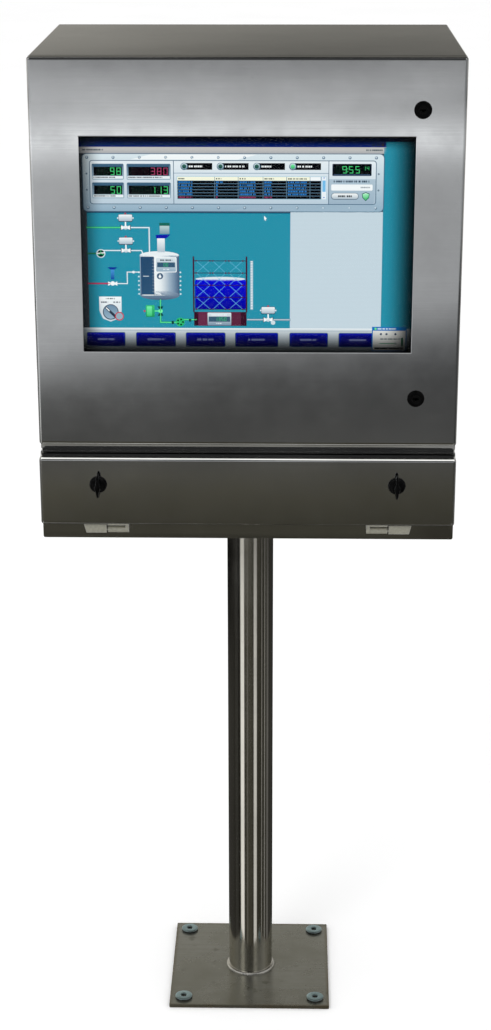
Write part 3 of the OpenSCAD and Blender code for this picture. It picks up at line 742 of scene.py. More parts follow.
def wing_latches():
    spots, r = wing_latch_spots()
    face = [(LATCH_BORE, 0.0), (r - 2.0, 0.0), (r - 0.6, 0.7), (r, 2.0), (r, 2.9), (r - 0.4, 3.0)]
    latch_bodies("wing_latch_bodies", "wing_latch_housings", face, spots)
    for side in ("left", "right"):
        wing_knob(side)
        refine(side + "_wing_cam", 0.3)
    refine("wing_latch_nuts", 0.3)


def window_glass():
    """Pane with ground edges."""
    thickness, grind, corner = 3.2, 0.5, 3.0
    front, back = GLASS_LO.y, GLASS_LO.y + thickness
    bm = bmesh.new()
    solid(bm, [rect_ring(bm, GLASS_LO.x + inset, GLASS_HI.x - inset, GLASS_LO.z + inset, GLASS_HI.z - inset,
                         y, corner)
               for inset, y in ((grind, front), (0, front + grind), (0, back - grind), (grind, back))])
    make("touch_glass_pane", bm, ["touch_glass"])


def keyboard():
    """Sealed keyboard: domed slab, five rows of caps, a long space key and a touch pad."""
    lo, hi = box("keyboard")
    bm = bmesh.new()
    top = hi.z - 0.8
    ground = top - 0.8
    levels = ((1.5, lo.z, 5), (0, lo.z + 1.5, 6), (0, top - 4, 6), (0.6, top - 2.2, 6),
              (2.4, top - 0.6, 5), (5.5, top, 4), (6.5, ground, 3), (7.2, ground, 3))
    solid(bm, [rect_ring(bm, lo.x + inset, hi.x - inset, lo.y + inset, hi.y - inset, z, r, 6, flat=True)
               for inset, z, r in levels])

    def key(x0, x1, y0, y1, rise):
        spans = ((-0.5, 0.0, 2.0), (0.0, rise * 0.4, 2.0), (0.5, rise * 0.9, 2.4), (1.4, rise, 2.6),
                 (2.6, rise - 0.35, 2.4))
        cap = [rect_ring(bm, x0 + inset, x1 - inset, y0 + inset, y1 - inset, ground + up, r, 3, flat=True)
               for inset, up, r in spans]
        bridge(bm, cap)
        bm.faces.new(cap[-1])

    pitch, size, rise = 18, 15, 1.6
    columns, rows = 16, 5
    space_start, space_end = 3, 9
    x_start, y_start = lo.x + 12, lo.y + 10
    for i in range(columns):
        for j in range(rows):
            if j > 0 or i < space_start or i > space_end:
                x0, y0 = x_start + pitch * i, y_start + pitch * j
                key(x0, x0 + size, y0, y0 + size, rise)
    key(x_start + space_start * pitch, x_start + space_end * pitch + size, y_start, y_start + size, rise)
    pad_x0, pad_x1 = x_start + columns * pitch + 4, hi.x - 8
    key(pad_x0, pad_x1, lo.y + 34, lo.y + 88, 1.2)
    half = (pad_x1 - pad_x0) / 2
    for x0 in (pad_x0, pad_x0 + half + 1):
        key(x0, x0 + half - 1, lo.y + 20, lo.y + 31, 1.5)
    make("sealed_keyboard", bm, ["keyboard"], angle=40)


# ---- the picture on the display


class Picture:
    """Flat coloured faces in layers, drawn in millimetres right and down from the
    window's upper left corner; each layer lies a little in front of the one before."""

    STEP = 0.03
    SEGMENTS = {"0": "abcdef", "1": "bc", "3": "abcdg", "4": "bcfg", "5": "acdfg",
                "8": "abcdefg", "9": "abcdfg"}

    def __init__(self, back):
        self.bm = bmesh.new()
        self.tint = self.bm.loops.layers.float_color.new("tint")
        self.back = back
        self.layer = 0

    def face(self, points, colours):
        y = self.back - self.layer * self.STEP
        verts = [self.bm.verts.new((WIN_LO.x + px, y, WIN_HI.z - py)) for px, py in points]
        made = self.bm.faces.new(verts[::-1])
        several = isinstance(colours, list)
        for k, loop in enumerate(made.loops):
            loop[self.tint] = colours[len(points) - 1 - k] if several else colours

    def rect(self, x0, y0, x1, y1, colour, low=None):
        """Filled box; low is the colour at the bottom if it fades downwards."""
        low = low or colour
        self.face([(x0, y0), (x1, y0), (x1, y1), (x0, y1)], [colour, colour, low, low])

    def round_rect(self, x0, y0, x1, y1, r, colour, low=None):
        low = low or colour
        points = []
        for cx, cy, start in ((x1 - r, y0 + r, -90), (x1 - r, y1 - r, 0), (x0 + r, y1 - r, 90),
                              (x0 + r, y0 + r, 180)):
            for i in range(5):
                a = math.radians(start + 22.5 * i)
                points.append((cx + r * math.cos(a), cy + r * math.sin(a)))
        height = y1 - y0
        shades = []
        for _, py in points:
            t = (py - y0) / height
            shades.append(tuple(a + (b - a) * t for a, b in zip(colour, low)))
        self.face(points, shades)

    def disc(self, x, y, r, colour, squash=1.0, low=None):
        turns = [math.radians(15 * i) for i in range(24)]
        points = [(x + r * math.cos(a), y + r * squash * math.sin(a)) for a in turns]
        low = low or colour
        shades = [tuple(a + (b - a) * ((py - y) / (2 * r * squash) + 0.5) for a, b in zip(colour, low))
                  for _, py in points]
        self.face(points, shades)

    def line(self, points, width, colour):
        for (ax, ay), (bx, by) in zip(points, points[1:]):
            length = math.hypot(bx - ax, by - ay)
            ux, uy = (bx - ax) / length * width / 2, (by - ay) / length * width / 2
            self.face([(ax - ux - uy, ay - uy + ux), (ax - ux + uy, ay - uy - ux),
                       (bx + ux + uy, by + uy - ux), (bx + ux - uy, by + uy + ux)], colour)

    def words(self, x0, x1, y, height, colour):
        """A caption shown as short bars with gaps."""
        x = x0
        while x < x1:
            step = height * dice.uniform(0.5, 1.1)
            self.rect(x, y - height / 2, min(x + step, x1), y + height / 2, colour)
            x += step + height * dice.choice((0.25, 0.25, 0.8))

    def digit(self, char, x, y, w, h, colour, ghost):
        """Seven-segment digit whose upper left corner is at x, y."""
        t = w * 0.2
        bars = {"a": (x, y, x + w, y + t), "g": (x, y + h / 2 - t / 2, x + w, y + h / 2 + t / 2),
                "d": (x, y + h - t, x + w, y + h), "f": (x, y, x + t, y + h / 2),
                "b": (x + w - t, y, x + w, y + h / 2), "e": (x, y + h / 2, x + t, y + h),
                "c": (x + w - t, y + h / 2, x + w, y + h)}
        lit = self.SEGMENTS.get(char, "")
        for key, (x0, y0, x1, y1) in bars.items():
            shade = colour if key in lit else ghost
            pad = t * 0.12
            self.rect(x0 + pad, y0 + pad, x1 - pad, y1 - pad, shade)

    def number(self, text, x1, y, w, h, colour, ghost, places):
        padded = text.rjust(places)
        pitch = w * 1.45
        for k, char in enumerate(padded):
            self.digit(char, x1 - pitch * (places - k) + pitch - w, y, w, h, colour, ghost)


TEAL, PALE = rgb(38, 145, 170), rgb(200, 216, 226)
PANEL_LIGHT, PANEL_DARK, PANEL_LINE = rgb(222, 234, 240), rgb(150, 178, 198), rgb(70, 102, 128)
BLACK, WHITE = rgb(2, 4, 8), rgb(246, 250, 252)
GREEN, DIM_GREEN = rgb(72, 214, 124), rgb(8, 34, 26)
RED, DIM_RED = rgb(176, 62, 104), rgb(30, 6, 16)
MAROON, CABLE_BLUE = rgb(84, 24, 52), rgb(6, 10, 214)


def draw_header(p):
    p.layer = 1
    p.rect(-2, -2, 473, 8, rgb(2, 8, 34), rgb(2, 16, 60))
    p.rect(-2, 8, 430, 15.5, rgb(2, 22, 78), rgb(6, 40, 128))
    p.rect(-2, 15.5, 430, 24.5, rgb(214, 210, 206), rgb(168, 170, 174))
    p.rect(-2, 24.5, 430, 276, rgb(64, 72, 80))
    p.rect(427, 16, 430, 276, TEAL)
    p.layer = 2
    for y, x_end in ((4, 34), (12, 180)):
        p.words(9, x_end, y, 2.0, rgb(30, 60, 70))
        p.disc(5.5, y, 1.6, rgb(20, 74, 60))
    p.words(4, 34, 19.5, 2.2, rgb(70, 84, 98))
    p.words(402, 425, 19.5, 2.2, rgb(70, 90, 96))
    for x, y in ((420, 12), (460, 4)):
        for k, tone in enumerate((rgb(60, 50, 44), rgb(30, 44, 66), rgb(30, 44, 66))):
            p.rect(x + 3 - 6.5 * k, y - 2, x + 7 - 6.5 * k, y + 2, tone)
    p.round_rect(3.2, 24.4, 428, 107.2, 6.4, PANEL_LINE)
    p.layer = 3
    p.round_rect(4.2, 25.4, 427, 106.0, 5.6, PANEL_LIGHT, PANEL_DARK)
    p.layer = 4
    p.face([(100, 25.8), (250, 25.8), (222, 33.0), (72, 33.0)], WHITE)
    p.face([(240, 97.0), (420, 97.0), (414, 105.4), (214, 105.4)], rgb(160, 184, 202))
    for k in range(12):
        for y in (30.2, 101.0):
            p.disc(10.5 + 36.9 * k, y, 2.1, PANEL_LINE)
    for y in (53, 76):
        p.disc(9.5, y, 1.4, rgb(110, 132, 150))
        p.disc(420, y, 1.4, rgb(110, 132, 150))
    p.round_rect(13.4, 34.0, 417.0, 96.4, 4.4, PANEL_LINE)
    p.layer = 5
    for k in range(12):
        for y in (29.8, 100.6):
            p.disc(10.3 + 36.9 * k, y, 1.3, rgb(196, 212, 224))
    p.round_rect(14.4, 35.0, 416.0, 95.4, 3.6, rgb(232, 240, 245), rgb(190, 208, 222))
    p.layer = 6
    p.rect(131.6, 35, 132.5, 95.4, PANEL_LINE)
    p.rect(349.6, 35, 350.5, 95.4, PANEL_LINE)
    p.rect(132.5, 51.6, 349.6, 52.6, rgb(140, 164, 184))
    p.face([(350.5, 60.0), (416, 60.0), (416, 92), (412.5, 95.4), (350.5, 95.4)],
           [rgb(178, 198, 212)] * 3 + [rgb(160, 182, 200)] * 2)


def draw_readouts(p):
    readouts = (("98", 17, 62, 39, GREEN, DIM_GREEN, 4), ("380", 66, 128, 39, RED, DIM_RED, 6),
                ("50", 17, 62, 65.4, GREEN, DIM_GREEN, 4), ("113", 66, 128, 65.4, GREEN, DIM_GREEN, 6))
    for text, x0, x1, y, lit, ghost, places in readouts:
        p.layer = 6
        p.round_rect(x0, y, x1, y + 22.6, 1.8, rgb(82, 112, 136), rgb(150, 176, 194))
        p.layer = 7
        p.rect(x0 + 1.2, y + 17.4, x1 - 1.2, y + 21.2, rgb(236, 243, 247))
        p.face([(x0 + 1, y + 1), (x1 - 1, y + 1), (x1 - 2.6, y + 4.4), (x0 + 2.6, y + 4.4)],
               rgb(60, 96, 124))
        p.rect(x0 + 2.6, y + 4.4, x1 - 2.6, y + 16.8, BLACK)
        p.layer = 8
        p.words(x0 + 2.2, x1 - 12, y + 19.2, 1.7, rgb(44, 58, 74))
        p.number(text, x1 - 4.2, y + 5.4, 6.1, 10.6, lit, ghost, places)
    p.layer = 6
    p.round_rect(355, 38.6, 410, 55.6, 1.2, rgb(26, 44, 70))
    p.layer = 7
    p.face([(356.5, 39.2), (408.5, 39.2), (409.5, 54.2), (355.5, 54.2)], BLACK)
    p.rect(357, 53.2, 408, 55, rgb(52, 76, 104))
    p.layer = 8
    p.number("955", 393.5, 41.8, 6.3, 10.2, GREEN, DIM_GREEN, 4)
    for y in (45, 49):
        p.rect(375.8, y, 376.9, y + 1.2, GREEN)
    p.number("14", 406.5, 42.2, 3.4, 5.4, GREEN, DIM_GREEN, 2)


def draw_status(p):
    for k, x in enumerate((147, 198, 249, 299.5)):
        p.layer = 7
        p.rect(x, 37.9, x + 39.5, 47.3, BLACK, rgb(8, 10, 14))
        p.layer = 8
        p.disc(x, 42.6, 5.2, PANEL_LINE)
        p.words(x + 6.6, x + 6.6 + (19, 27, 14, 21)[k], 42.6, 2.4, WHITE)
        p.layer = 9
        p.disc(x, 42.4, 4.4, rgb(206, 222, 230), low=rgb(104, 138, 150))
        p.layer = 10
        if k == 3:
            p.disc(x, 42.6, 3.0, rgb(126, 240, 170), low=rgb(28, 176, 96))
        else:
            p.disc(x, 42.6, 3.0, rgb(54, 108, 98), low=rgb(20, 62, 58))
    p.layer = 7
    p.rect(136.2, 56.2, 347.4, 89.4, rgb(186, 214, 228))
    columns = (137.2, 190.2, 223.2, 258.2, 291.2, 324.2, 339.6)
    p.layer = 8
    p.rect(137.2, 57.2, 339.6, 88.6, rgb(96, 132, 158))
    p.rect(340.4, 57.2, 346.6, 88.6, rgb(238, 244, 250))
    for k, (x0, x1) in enumerate(zip(columns, columns[1:])):
        p.layer = 9
        p.rect(x0, 57.2, x1 - 0.7, 62.4, rgb(250, 250, 226) if k < 5 else WHITE)
        for row in range(6):
            y = 62.9 + 4.3 * row
            p.rect(x0, y, x1 - 0.7, y + 3.6, BLACK)
        p.layer = 10
        if k < 5:
            p.words(x0 + 1.6, x0 + (10, 9, 10, 15, 28)[k], 59.9, 1.9, rgb(70, 84, 80))
            for row in range(6):
                y = 64.7 + 4.3 * row
                reach = 12 if (k, row) == (1, 0) else (21, 4, 24, 12, 28)[k]
                if (k, row) != (4, 5):
                    ink = rgb(150, 50, 92) if row == 5 else rgb(40, 122, 200)
                    p.words(x0 + 1.6, x0 + reach, y, 2.2, ink)
    p.layer = 9
    p.rect(341.2, 62, 345.8, 78, rgb(120, 190, 236))
    for y in (59, 86.6):
        p.face([(342, y), (343.5, y - 1.6), (345, y)], rgb(40, 120, 206))


def draw_operator(p):
    p.layer = 7
    p.words(357, 407, 63.4, 2.6, rgb(38, 62, 84))
    p.round_rect(353.6, 67.6, 411.8, 76.2, 1.6, WHITE)
    p.round_rect(353.6, 79.6, 392.4, 89.2, 4.6, rgb(96, 116, 134))
    p.layer = 8
    p.words(395, 408, 71.8, 2.0, rgb(150, 160, 168))
    p.round_rect(354.4, 80.2, 391.6, 88.2, 3.9, rgb(250, 252, 252), rgb(176, 192, 204))
    p.face([(397, 80.4), (402.4, 78.4), (407.8, 80.4), (407.2, 86.4), (402.4, 91.2), (397.6, 86.4)],
           rgb(56, 110, 96))
    p.layer = 9
    p.words(363.5, 383, 84.2, 2.6, rgb(30, 38, 46))
    p.face([(398, 81.2), (402.4, 79.6), (406.8, 81.2), (406.2, 85.9), (402.4, 89.8), (398.6, 85.9)],
           [rgb(170, 246, 196), WHITE, rgb(150, 236, 180), rgb(70, 206, 120), rgb(44, 178, 96),
            rgb(70, 206, 120)])


def draw_valve(p, x, y, width=21.5):
    """Pneumatic valve: a white drum actuator over a bow-tie body centred at x, y."""
    half = width / 2
    top = y - 18.6
    p.layer = 4
    p.disc(x, top - 1.2, 1.5, rgb(176, 60, 84))
    for s in (-1, 1):
        p.disc(x + s * half, top + 5, 1.2, rgb(220, 232, 238))
        p.face([(x, y), (x + s * 7.4, y - 4.4), (x + s * 7.4, y + 4.4)], rgb(28, 64, 84))
    p.round_rect(x - half + 0.6, top - 0.6, x + half - 0.6, top + 10.6, 2.0, rgb(22, 66, 90))
    p.rect(x - 1.0, y - 8.5, x + 1.0, y, WHITE)
    p.layer = 5
    p.round_rect(x - half + 1.2, top, x + half - 1.2, top + 9.4, 1.4, WHITE, rgb(168, 188, 202))
    for s in (-1, 1):
        p.face([(x, y - 0.6), (x + s * 6.4, y - 3.2), (x + s * 6.4, y + 3.2), (x, y + 0.6)], WHITE)
    p.disc(x, y, 3.0, WHITE, low=rgb(190, 204, 214))


def draw_pipe(p, points, width, colour, core):
    p.layer = 3
    p.line(points, width, colour)
    p.layer = 4
    p.line(points, width * 0.45, core)


def draw_reactor(p):
    p.layer = 4
    p.rect(107.6, 144.6, 118.4, 165, WHITE, rgb(176, 192, 206))
    p.rect(110.8, 122.6, 125.6, 127, rgb(28, 104, 92))
    p.rect(111.4, 127, 125.0, 138.6, rgb(190, 214, 214), rgb(120, 150, 168))
    p.face([(105.4, 140), (126.6, 139.4), (120.6, 145), (106.2, 145)], rgb(10, 18, 168))
    p.disc(110.3, 169.6, 28.1, rgb(236, 242, 246), 0.22)
    p.disc(110.3, 227.6, 28.1, rgb(140, 160, 180), 0.24, rgb(70, 96, 124))
    mids = (82.2, 88, 103, 112, 124, 132, 138.4)
    tones = (rgb(120, 144, 168), rgb(196, 210, 222), rgb(244, 248, 250), rgb(232, 238, 242),
             rgb(160, 180, 198), rgb(112, 138, 164), rgb(66, 92, 122))
    for (x0, x1), (a, b) in zip(zip(mids, mids[1:]), zip(tones, tones[1:])):
        p.face([(x0, 169.6), (x1, 169.6), (x1, 228), (x0, 228)], [a, b, b, a])
    for k in range(6):
        y = 194 + 6.3 * k
        p.disc(80.6, y, 1.3, rgb(206, 226, 232))
        p.disc(140.0, y, 1.3, rgb(206, 226, 232))
    p.layer = 5
    p.round_rect(83.6, 171.4, 102.6, 227.4, 1.2, rgb(36, 72, 108), rgb(44, 82, 116))
    p.round_rect(104.4, 172.0, 134.8, 194.0, 2.0, WHITE)
    p.disc(110.8, 199.6, 4.6, rgb(60, 92, 122))
    p.layer = 6
    p.rect(85, 226.6, 102, 227.6, WHITE)
    p.rect(86.8, 199.2, 95.0, 200.2, rgb(214, 226, 234))
    for k in range(11):
        p.rect(99.6, 176 + 4.6 * k, 102.4, 176.5 + 4.6 * k, rgb(186, 204, 216))
    p.round_rect(105.6, 173.0, 133.8, 193.0, 1.6, rgb(222, 232, 238), rgb(150, 174, 194))
    p.face([(110.8, 196.2), (113.0, 200.8), (110.8, 202.8), (108.6, 200.8)], WHITE)
    p.layer = 7
    p.words(111.5, 129, 176.4, 2.2, rgb(40, 56, 74))
    p.rect(107, 179.6, 132.4, 186.6, rgb(54, 88, 116))
    p.words(115.6, 124, 189.8, 1.4, rgb(236, 242, 246))
    p.layer = 8
    p.number("00", 122.6, 180.6, 2.6, 4.8, GREEN, rgb(54, 88, 116), 2)


def draw_inputs(p):
    draw_pipe(p, [(8, 129.6), (60, 129.6)], 2.6, rgb(34, 150, 98), rgb(84, 224, 140))
    draw_pipe(p, [(66, 129.6), (96.4, 129.6), (96.4, 168)], 2.6, rgb(120, 168, 186), WHITE)
    draw_pipe(p, [(8, 167), (26, 167)], 2.4, rgb(16, 88, 62), rgb(40, 140, 92))
    draw_pipe(p, [(30, 162.6), (85, 162.6), (88, 170)], 2.4, rgb(120, 168, 186), WHITE)
    draw_pipe(p, [(8, 210.6), (40, 210.6)], 2.4, rgb(146, 34, 70), rgb(206, 66, 104))
    draw_pipe(p, [(48, 210.6), (64, 210.6), (64, 193.8), (82, 193.8)], 2.2, rgb(120, 168, 186), WHITE)
    draw_valve(p, 63, 129.6)
    draw_valve(p, 63, 162.6)
    p.layer = 4
    p.disc(27, 167, 6.4, rgb(206, 226, 232))
    p.face([(35.6, 186.8), (50.4, 186.8), (46, 190.2), (40, 190.2)], rgb(14, 44, 150))
    p.rect(40.4, 190.2, 45.6, 204.6, rgb(70, 150, 214), rgb(20, 70, 160))
    for s in (-1, 1):
        p.face([(43, 210.6), (43 + s * 6.6, 207.4), (43 + s * 6.6, 213.8)], WHITE)
    p.disc(73, 193.8, 2.0, rgb(226, 236, 240))
    p.layer = 5
    p.disc(27, 167, 5.0, rgb(8, 30, 34))
    p.disc(43, 210.4, 3.2, WHITE)
    p.layer = 6
    for k in range(3):
        a = math.radians(30 + 120 * k)
        p.line([(27, 167), (27 + 4.4 * math.cos(a), 167 + 4.4 * math.sin(a))], 1.3, rgb(40, 170, 104))
    p.line([(21.6, 167), (32, 166)], 1.5, WHITE)


def draw_selector(p):
    p.layer = 4
    p.face([(23, 229.6), (55, 229.6), (55, 251), (50, 262), (39, 266.4), (28, 262), (23, 251)],
           [WHITE, WHITE] + [rgb(206, 218, 226)] * 5)
    p.layer = 5
    p.words(32.6, 45.4, 232.6, 1.8, rgb(60, 76, 92))
    p.words(25.6, 36.0, 237.8, 2.0, rgb(60, 76, 92))
    p.words(43.4, 53.2, 237.8, 2.0, rgb(60, 76, 92))
    p.disc(39.2, 252.2, 11.4, rgb(44, 64, 86))
    p.layer = 6
    p.disc(39.2, 252.0, 10.2, rgb(110, 140, 166), low=rgb(150, 178, 198))
    p.layer = 7
    p.line([(33.4, 246.6), (46.4, 259.6)], 3.6, rgb(38, 52, 70))
    p.layer = 8
    p.line([(33.2, 246.4), (37.0, 250.2)], 1.6, WHITE)
    p.disc(51.6, 258.4, 6.4, rgb(206, 58, 74))
    p.layer = 9
    p.disc(51.6, 258.4, 5.0, rgb(150, 176, 190))


def draw_outlet(p):
    draw_pipe(p, [(110.8, 234), (110.8, 267.2), (139, 267.2)], 2.6, rgb(30, 150, 92), rgb(96, 236, 152))
    draw_pipe(p, [(139, 263), (162, 263)], 2.6, rgb(30, 150, 92), rgb(96, 236, 152))
    p.layer = 4
    p.round_rect(89.6, 242.0, 102.4, 259.4, 1.6, rgb(56, 196, 118), rgb(34, 150, 92))
    p.rect(102.4, 249.6, 108, 251.4, rgb(96, 236, 152))
    p.disc(88.0, 250.6, 1.5, rgb(186, 70, 90))
    for s in (-1, 1):
        p.face([(110.8, 250.6), (106.4, 250.6 + s * 7), (115.2, 250.6 + s * 7)], rgb(14, 60, 54))
    p.disc(110.8, 250.6, 3.2, rgb(112, 244, 164))
    p.disc(139, 266.6, 6.4, rgb(44, 190, 112))
    p.layer = 5
    p.round_rect(91.2, 243.6, 98.6, 257.8, 1.2, rgb(120, 240, 170), rgb(60, 200, 124))
    for k in range(5):
        a = math.radians(72 * k)
        p.disc(139 + 3.9 * math.cos(a), 266.6 + 3.9 * math.sin(a), 1.4, rgb(6, 28, 28))
    for x in (126.5, 151.5):
        p.rect(x, 262 if x > 140 else 265, x + 3.4, 266 if x > 140 else 269.6, rgb(14, 60, 54))


def draw_tank(p):
    p.layer = 4
    p.disc(197, 203.4, 35.6, rgb(222, 232, 238), 0.085)
    p.round_rect(160.6, 204.4, 233.4, 248, 3.0, CABLE_BLUE, rgb(4, 6, 150))
    for x0, x1, tone in ((159, 165, rgb(52, 14, 34)), (165, 178, rgb(104, 42, 72)),
                         (212, 226, rgb(92, 36, 62)), (226, 234.4, rgb(56, 16, 38)),
                         (178, 212, rgb(98, 40, 66))):
        p.rect(x0, 251.6, x1, 272, tone)
    p.layer = 5
    for x in (158.8, 234.4):
        p.rect(x - 1.1, 170.8, x + 1.1, 252, rgb(62, 20, 44))
    rows = (177.2, 194.8, 212.6, 230.2, 247.6)
    columns = ((162.6, 182.4), (186.4, 204.6), (209.4, 229.0))
    for y in rows:
        p.rect(160, y - 0.5, 233.4, y + 0.5, rgb(44, 26, 52))
    for top, bottom in zip(rows, rows[1:]):
        for x0, x1 in columns:
            p.line([(x0, top), (x1, bottom)], 0.5, rgb(110, 190, 226))
            p.line([(x1, top), (x0, bottom)], 0.5, rgb(110, 190, 226))
    p.layer = 6
    for y in rows:
        for x0, x1 in columns:
            for x in (x0, x1):
                p.disc(x, y, 1.2, MAROON)
    p.round_rect(178.4, 252.6, 212.4, 271.4, 1.4, rgb(226, 234, 240), rgb(120, 146, 168))
    p.layer = 7
    p.words(184, 206, 256.0, 1.8, rgb(240, 246, 250))
    p.rect(180, 258.4, 210.8, 266.0, rgb(56, 88, 112))
    p.words(191, 199, 268.6, 1.4, rgb(240, 246, 250))
    p.layer = 8
    p.number("1350", 205.4, 259.6, 3.0, 5.2, GREEN, rgb(56, 88, 112), 4)
    p.layer = 4
    p.rect(239.4, 176.6, 244.2, 248.6, rgb(96, 160, 182))
    p.layer = 5
    for k in range(30):
        p.rect(240.2, 177.4 + 2.36 * k, 243.4, 179.0 + 2.36 * k, rgb(232, 240, 244))
    draw_pipe(p, [(236, 262.8), (296, 262.8)], 2.8, rgb(96, 128, 152), rgb(206, 216, 222))
    draw_valve(p, 265.4, 262.8)
    p.layer = 6
    p.disc(272.4, 267.0, 3.2, rgb(212, 224, 230))


def draw_footer(p):
    p.layer = 3
    p.rect(-2, 275.4, 473, 311, rgb(214, 224, 230), rgb(120, 130, 136))
    p.layer = 4
    p.rect(-2, 275.4, 473, 276.8, rgb(238, 244, 247))
    p.rect(-2, 279, 473, 279.7, rgb(160, 178, 190))
    spans = ((4.6, 58.8), (75.8, 131.6), (147.6, 203.2), (218.6, 279.2), (296.8, 350.8), (367.6, 421))
    for x0, x1 in spans:
        p.layer = 5
        p.round_rect(x0 - 0.9, 281.8, x1 + 0.9, 303.2, 2.4, rgb(64, 94, 116))
        p.layer = 6
        p.round_rect(x0, 282.6, x1, 302.4, 2.0, rgb(14, 26, 176), rgb(4, 4, 92))
        p.layer = 7
        p.round_rect(x0 + 2.4, 285.4, x1 - 2.4, 300.8, 1.6, rgb(4, 6, 128), rgb(2, 2, 78))
        p.layer = 8
        middle = (x0 + x1) / 2
        p.words(middle - 12, middle + 12, 292.4, 2.8, rgb(120, 128, 176))
    p.layer = 9
    p.rect(414.6, 272.6, 464.4, 308.6, rgb(26, 116, 190))
    p.layer = 10
    p.rect(416, 278.4, 463, 307.4, rgb(226, 226, 222), rgb(196, 196, 192))
    p.disc(419.8, 275.6, 1.6, rgb(120, 230, 120))
    p.words(422.8, 449, 275.6, 2.0, rgb(226, 238, 246))
    p.layer = 11
    for x in (427.6, 435.6, 448.4):
        p.disc(x, 283.4, 1.6, rgb(46, 66, 96))
    p.words(427, 456, 290.6, 2.0, rgb(84, 104, 110))
    p.rect(425.6, 296.6, 447.6, 297.8, rgb(70, 140, 108))
    p.disc(448.6, 297.2, 1.8, rgb(150, 160, 158))
    p.rect(456.6, 288.6, 459.6, 300.8, rgb(40, 108, 84))
    p.rect(418.6, 303.0, 460.6, 305.6, BLACK)


def display_picture():
    p = Picture(box("lcd_module")[0].y - 0.04)
    p.rect(-3, -3, 474, 312, TEAL)
    draw_header(p)
    p.layer = 2
    p.rect(8.4, 108.2, 296.6, 276, TEAL)
    p.rect(296.6, 106.4, 427, 276, PALE)
    p.layer = 3
    p.rect(8.4, 107.8, 296.6, 109.0, rgb(12, 84, 118))
    for draw in (draw_readouts, draw_status, draw_operator, draw_reactor, draw_inputs, draw_selector,
                 draw_outlet, draw_tank, draw_footer):
        draw(p)
    p.layer = 9
    p.face([(259.4, 112), (263.4, 116.6), (261.4, 116.8), (262.2, 119), (260.9, 119.3), (260.0, 117.2),
            (259.4, 118.2)], WHITE)
    to_metres(p.bm)
    picture = from_bmesh("display_picture", p.bm)
    picture.data.materials.append(lit_picture())
    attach(picture, "display_door")


# ---- stage, light and camera


def floor():
    bm = bmesh.new()
    bmesh.ops.create_grid(bm, x_segments=8, y_segments=8, size=60.0)
    obj = from_bmesh("studio_floor", bm)
    material, tree, place = new_material("studio_floor")
    tone = noise(place, 1.5, 3.0, 0.5)
    colour = blend_colour(remap(tone, 0.3, 0.7), grey(0.93), grey(0.95))
    finish_shader(tree, Base_Color=colour, Roughness=0.9)
    obj.data.materials.append(material)
    obj.visible_glossy = False


def bands(z, lowest, highest, levels):
    """Brightness by elevation, between two elevations, from (degrees, brightness) pairs."""
    low, high = (math.sin(math.radians(degrees)) for degrees in (lowest, highest))
    node = put(z.id_data, "ShaderNodeValToRGB")
    connect(node.inputs[0], remap(z, low, high))
    elements = node.color_ramp.elements
    while len(elements) > 1:
        elements.remove(elements[-1])
    for k, (degrees, level) in enumerate(levels):
        place = (math.sin(math.radians(degrees)) - low) / (high - low)
        element = elements[0] if k == 0 else elements.new(place)
        element.position = place
        element.color = grey(level)
    return node.outputs[0]


def front_bands(x, z):
    """In front: a dark floor, leaning bands with a bright one, and two thin arcs above it."""
    lean = minus(remap(z, -0.165, -0.225, 0.0, 0.107, True), remap(z, -0.292, -0.312, 0.0, 0.10, True))
    front = bands(minus(z, times(lean, x)), -24.0, -5.0, (
        (-24.0, 0.02), (-20.4, 0.025), (-19.5, 0.055), (-18.5, 0.09), (-17.7, 0.125), (-17.0, 0.10),
        (-16.4, 0.088), (-15.4, 0.105), (-14.9, 0.17), (-14.2, 0.40), (-13.7, 0.58), (-12.9, 0.58),
        (-10.2, 0.53), (-9.7, 0.57), (-9.35, 0.77), (-9.1, 1.35), (-8.75, 1.38), (-8.5, 0.80),
        (-8.1, 0.45), (-7.75, 0.45), (-7.3, 0.38), (-6.9, 0.33), (-5.0, 0.30)))
    bow = minus(z, times(x, plus(0.048, times(x, 0.59))))
    for level, half, power in ((-0.130, 0.0036, 0.40), (-0.1385, 0.0046, 0.36)):
        arc = absolute(minus(bow, level))
        front = plus(front, remap(arc, half, half * 0.2, 0.0, power))
    return times(front, remap(z, -0.05, 0.10, 1.0, 0.07, True))


def back_bands(x, z):
    """Behind: dark below, a pale band at eye level, another 30 degrees up, dark above."""
    back = bands(z, -90.0, 90.0, (
        (-90.0, 0.03), (-20.0, 0.06), (-4.0, 0.32), (5.4, 0.36), (7.0, 0.14), (14.0, 0.20),
        (30.0, 0.36), (50.0, 0.10), (90.0, 0.01)))
    return times(back, remap(x, -0.09, 0.07, 0.90, 0.70))


def colour_cast(z, is_front):
    """Olive low in front, bluish above it, warm behind."""
    low = remap(z, -0.318, -0.295, 0.0, 1.0, True)
    middle = remap(z, -0.29, -0.25, 0.0, 1.0, True)
    cast = blend_colour(low, (1.05, 1.0, 0.78, 1.0), (0.98, 0.99, 1.0, 1.0))
    cast = blend_colour(middle, cast, (0.96, 0.985, 1.04, 1.0))
    return blend_colour(is_front, (1.03, 1.0, 0.91, 1.0), cast)


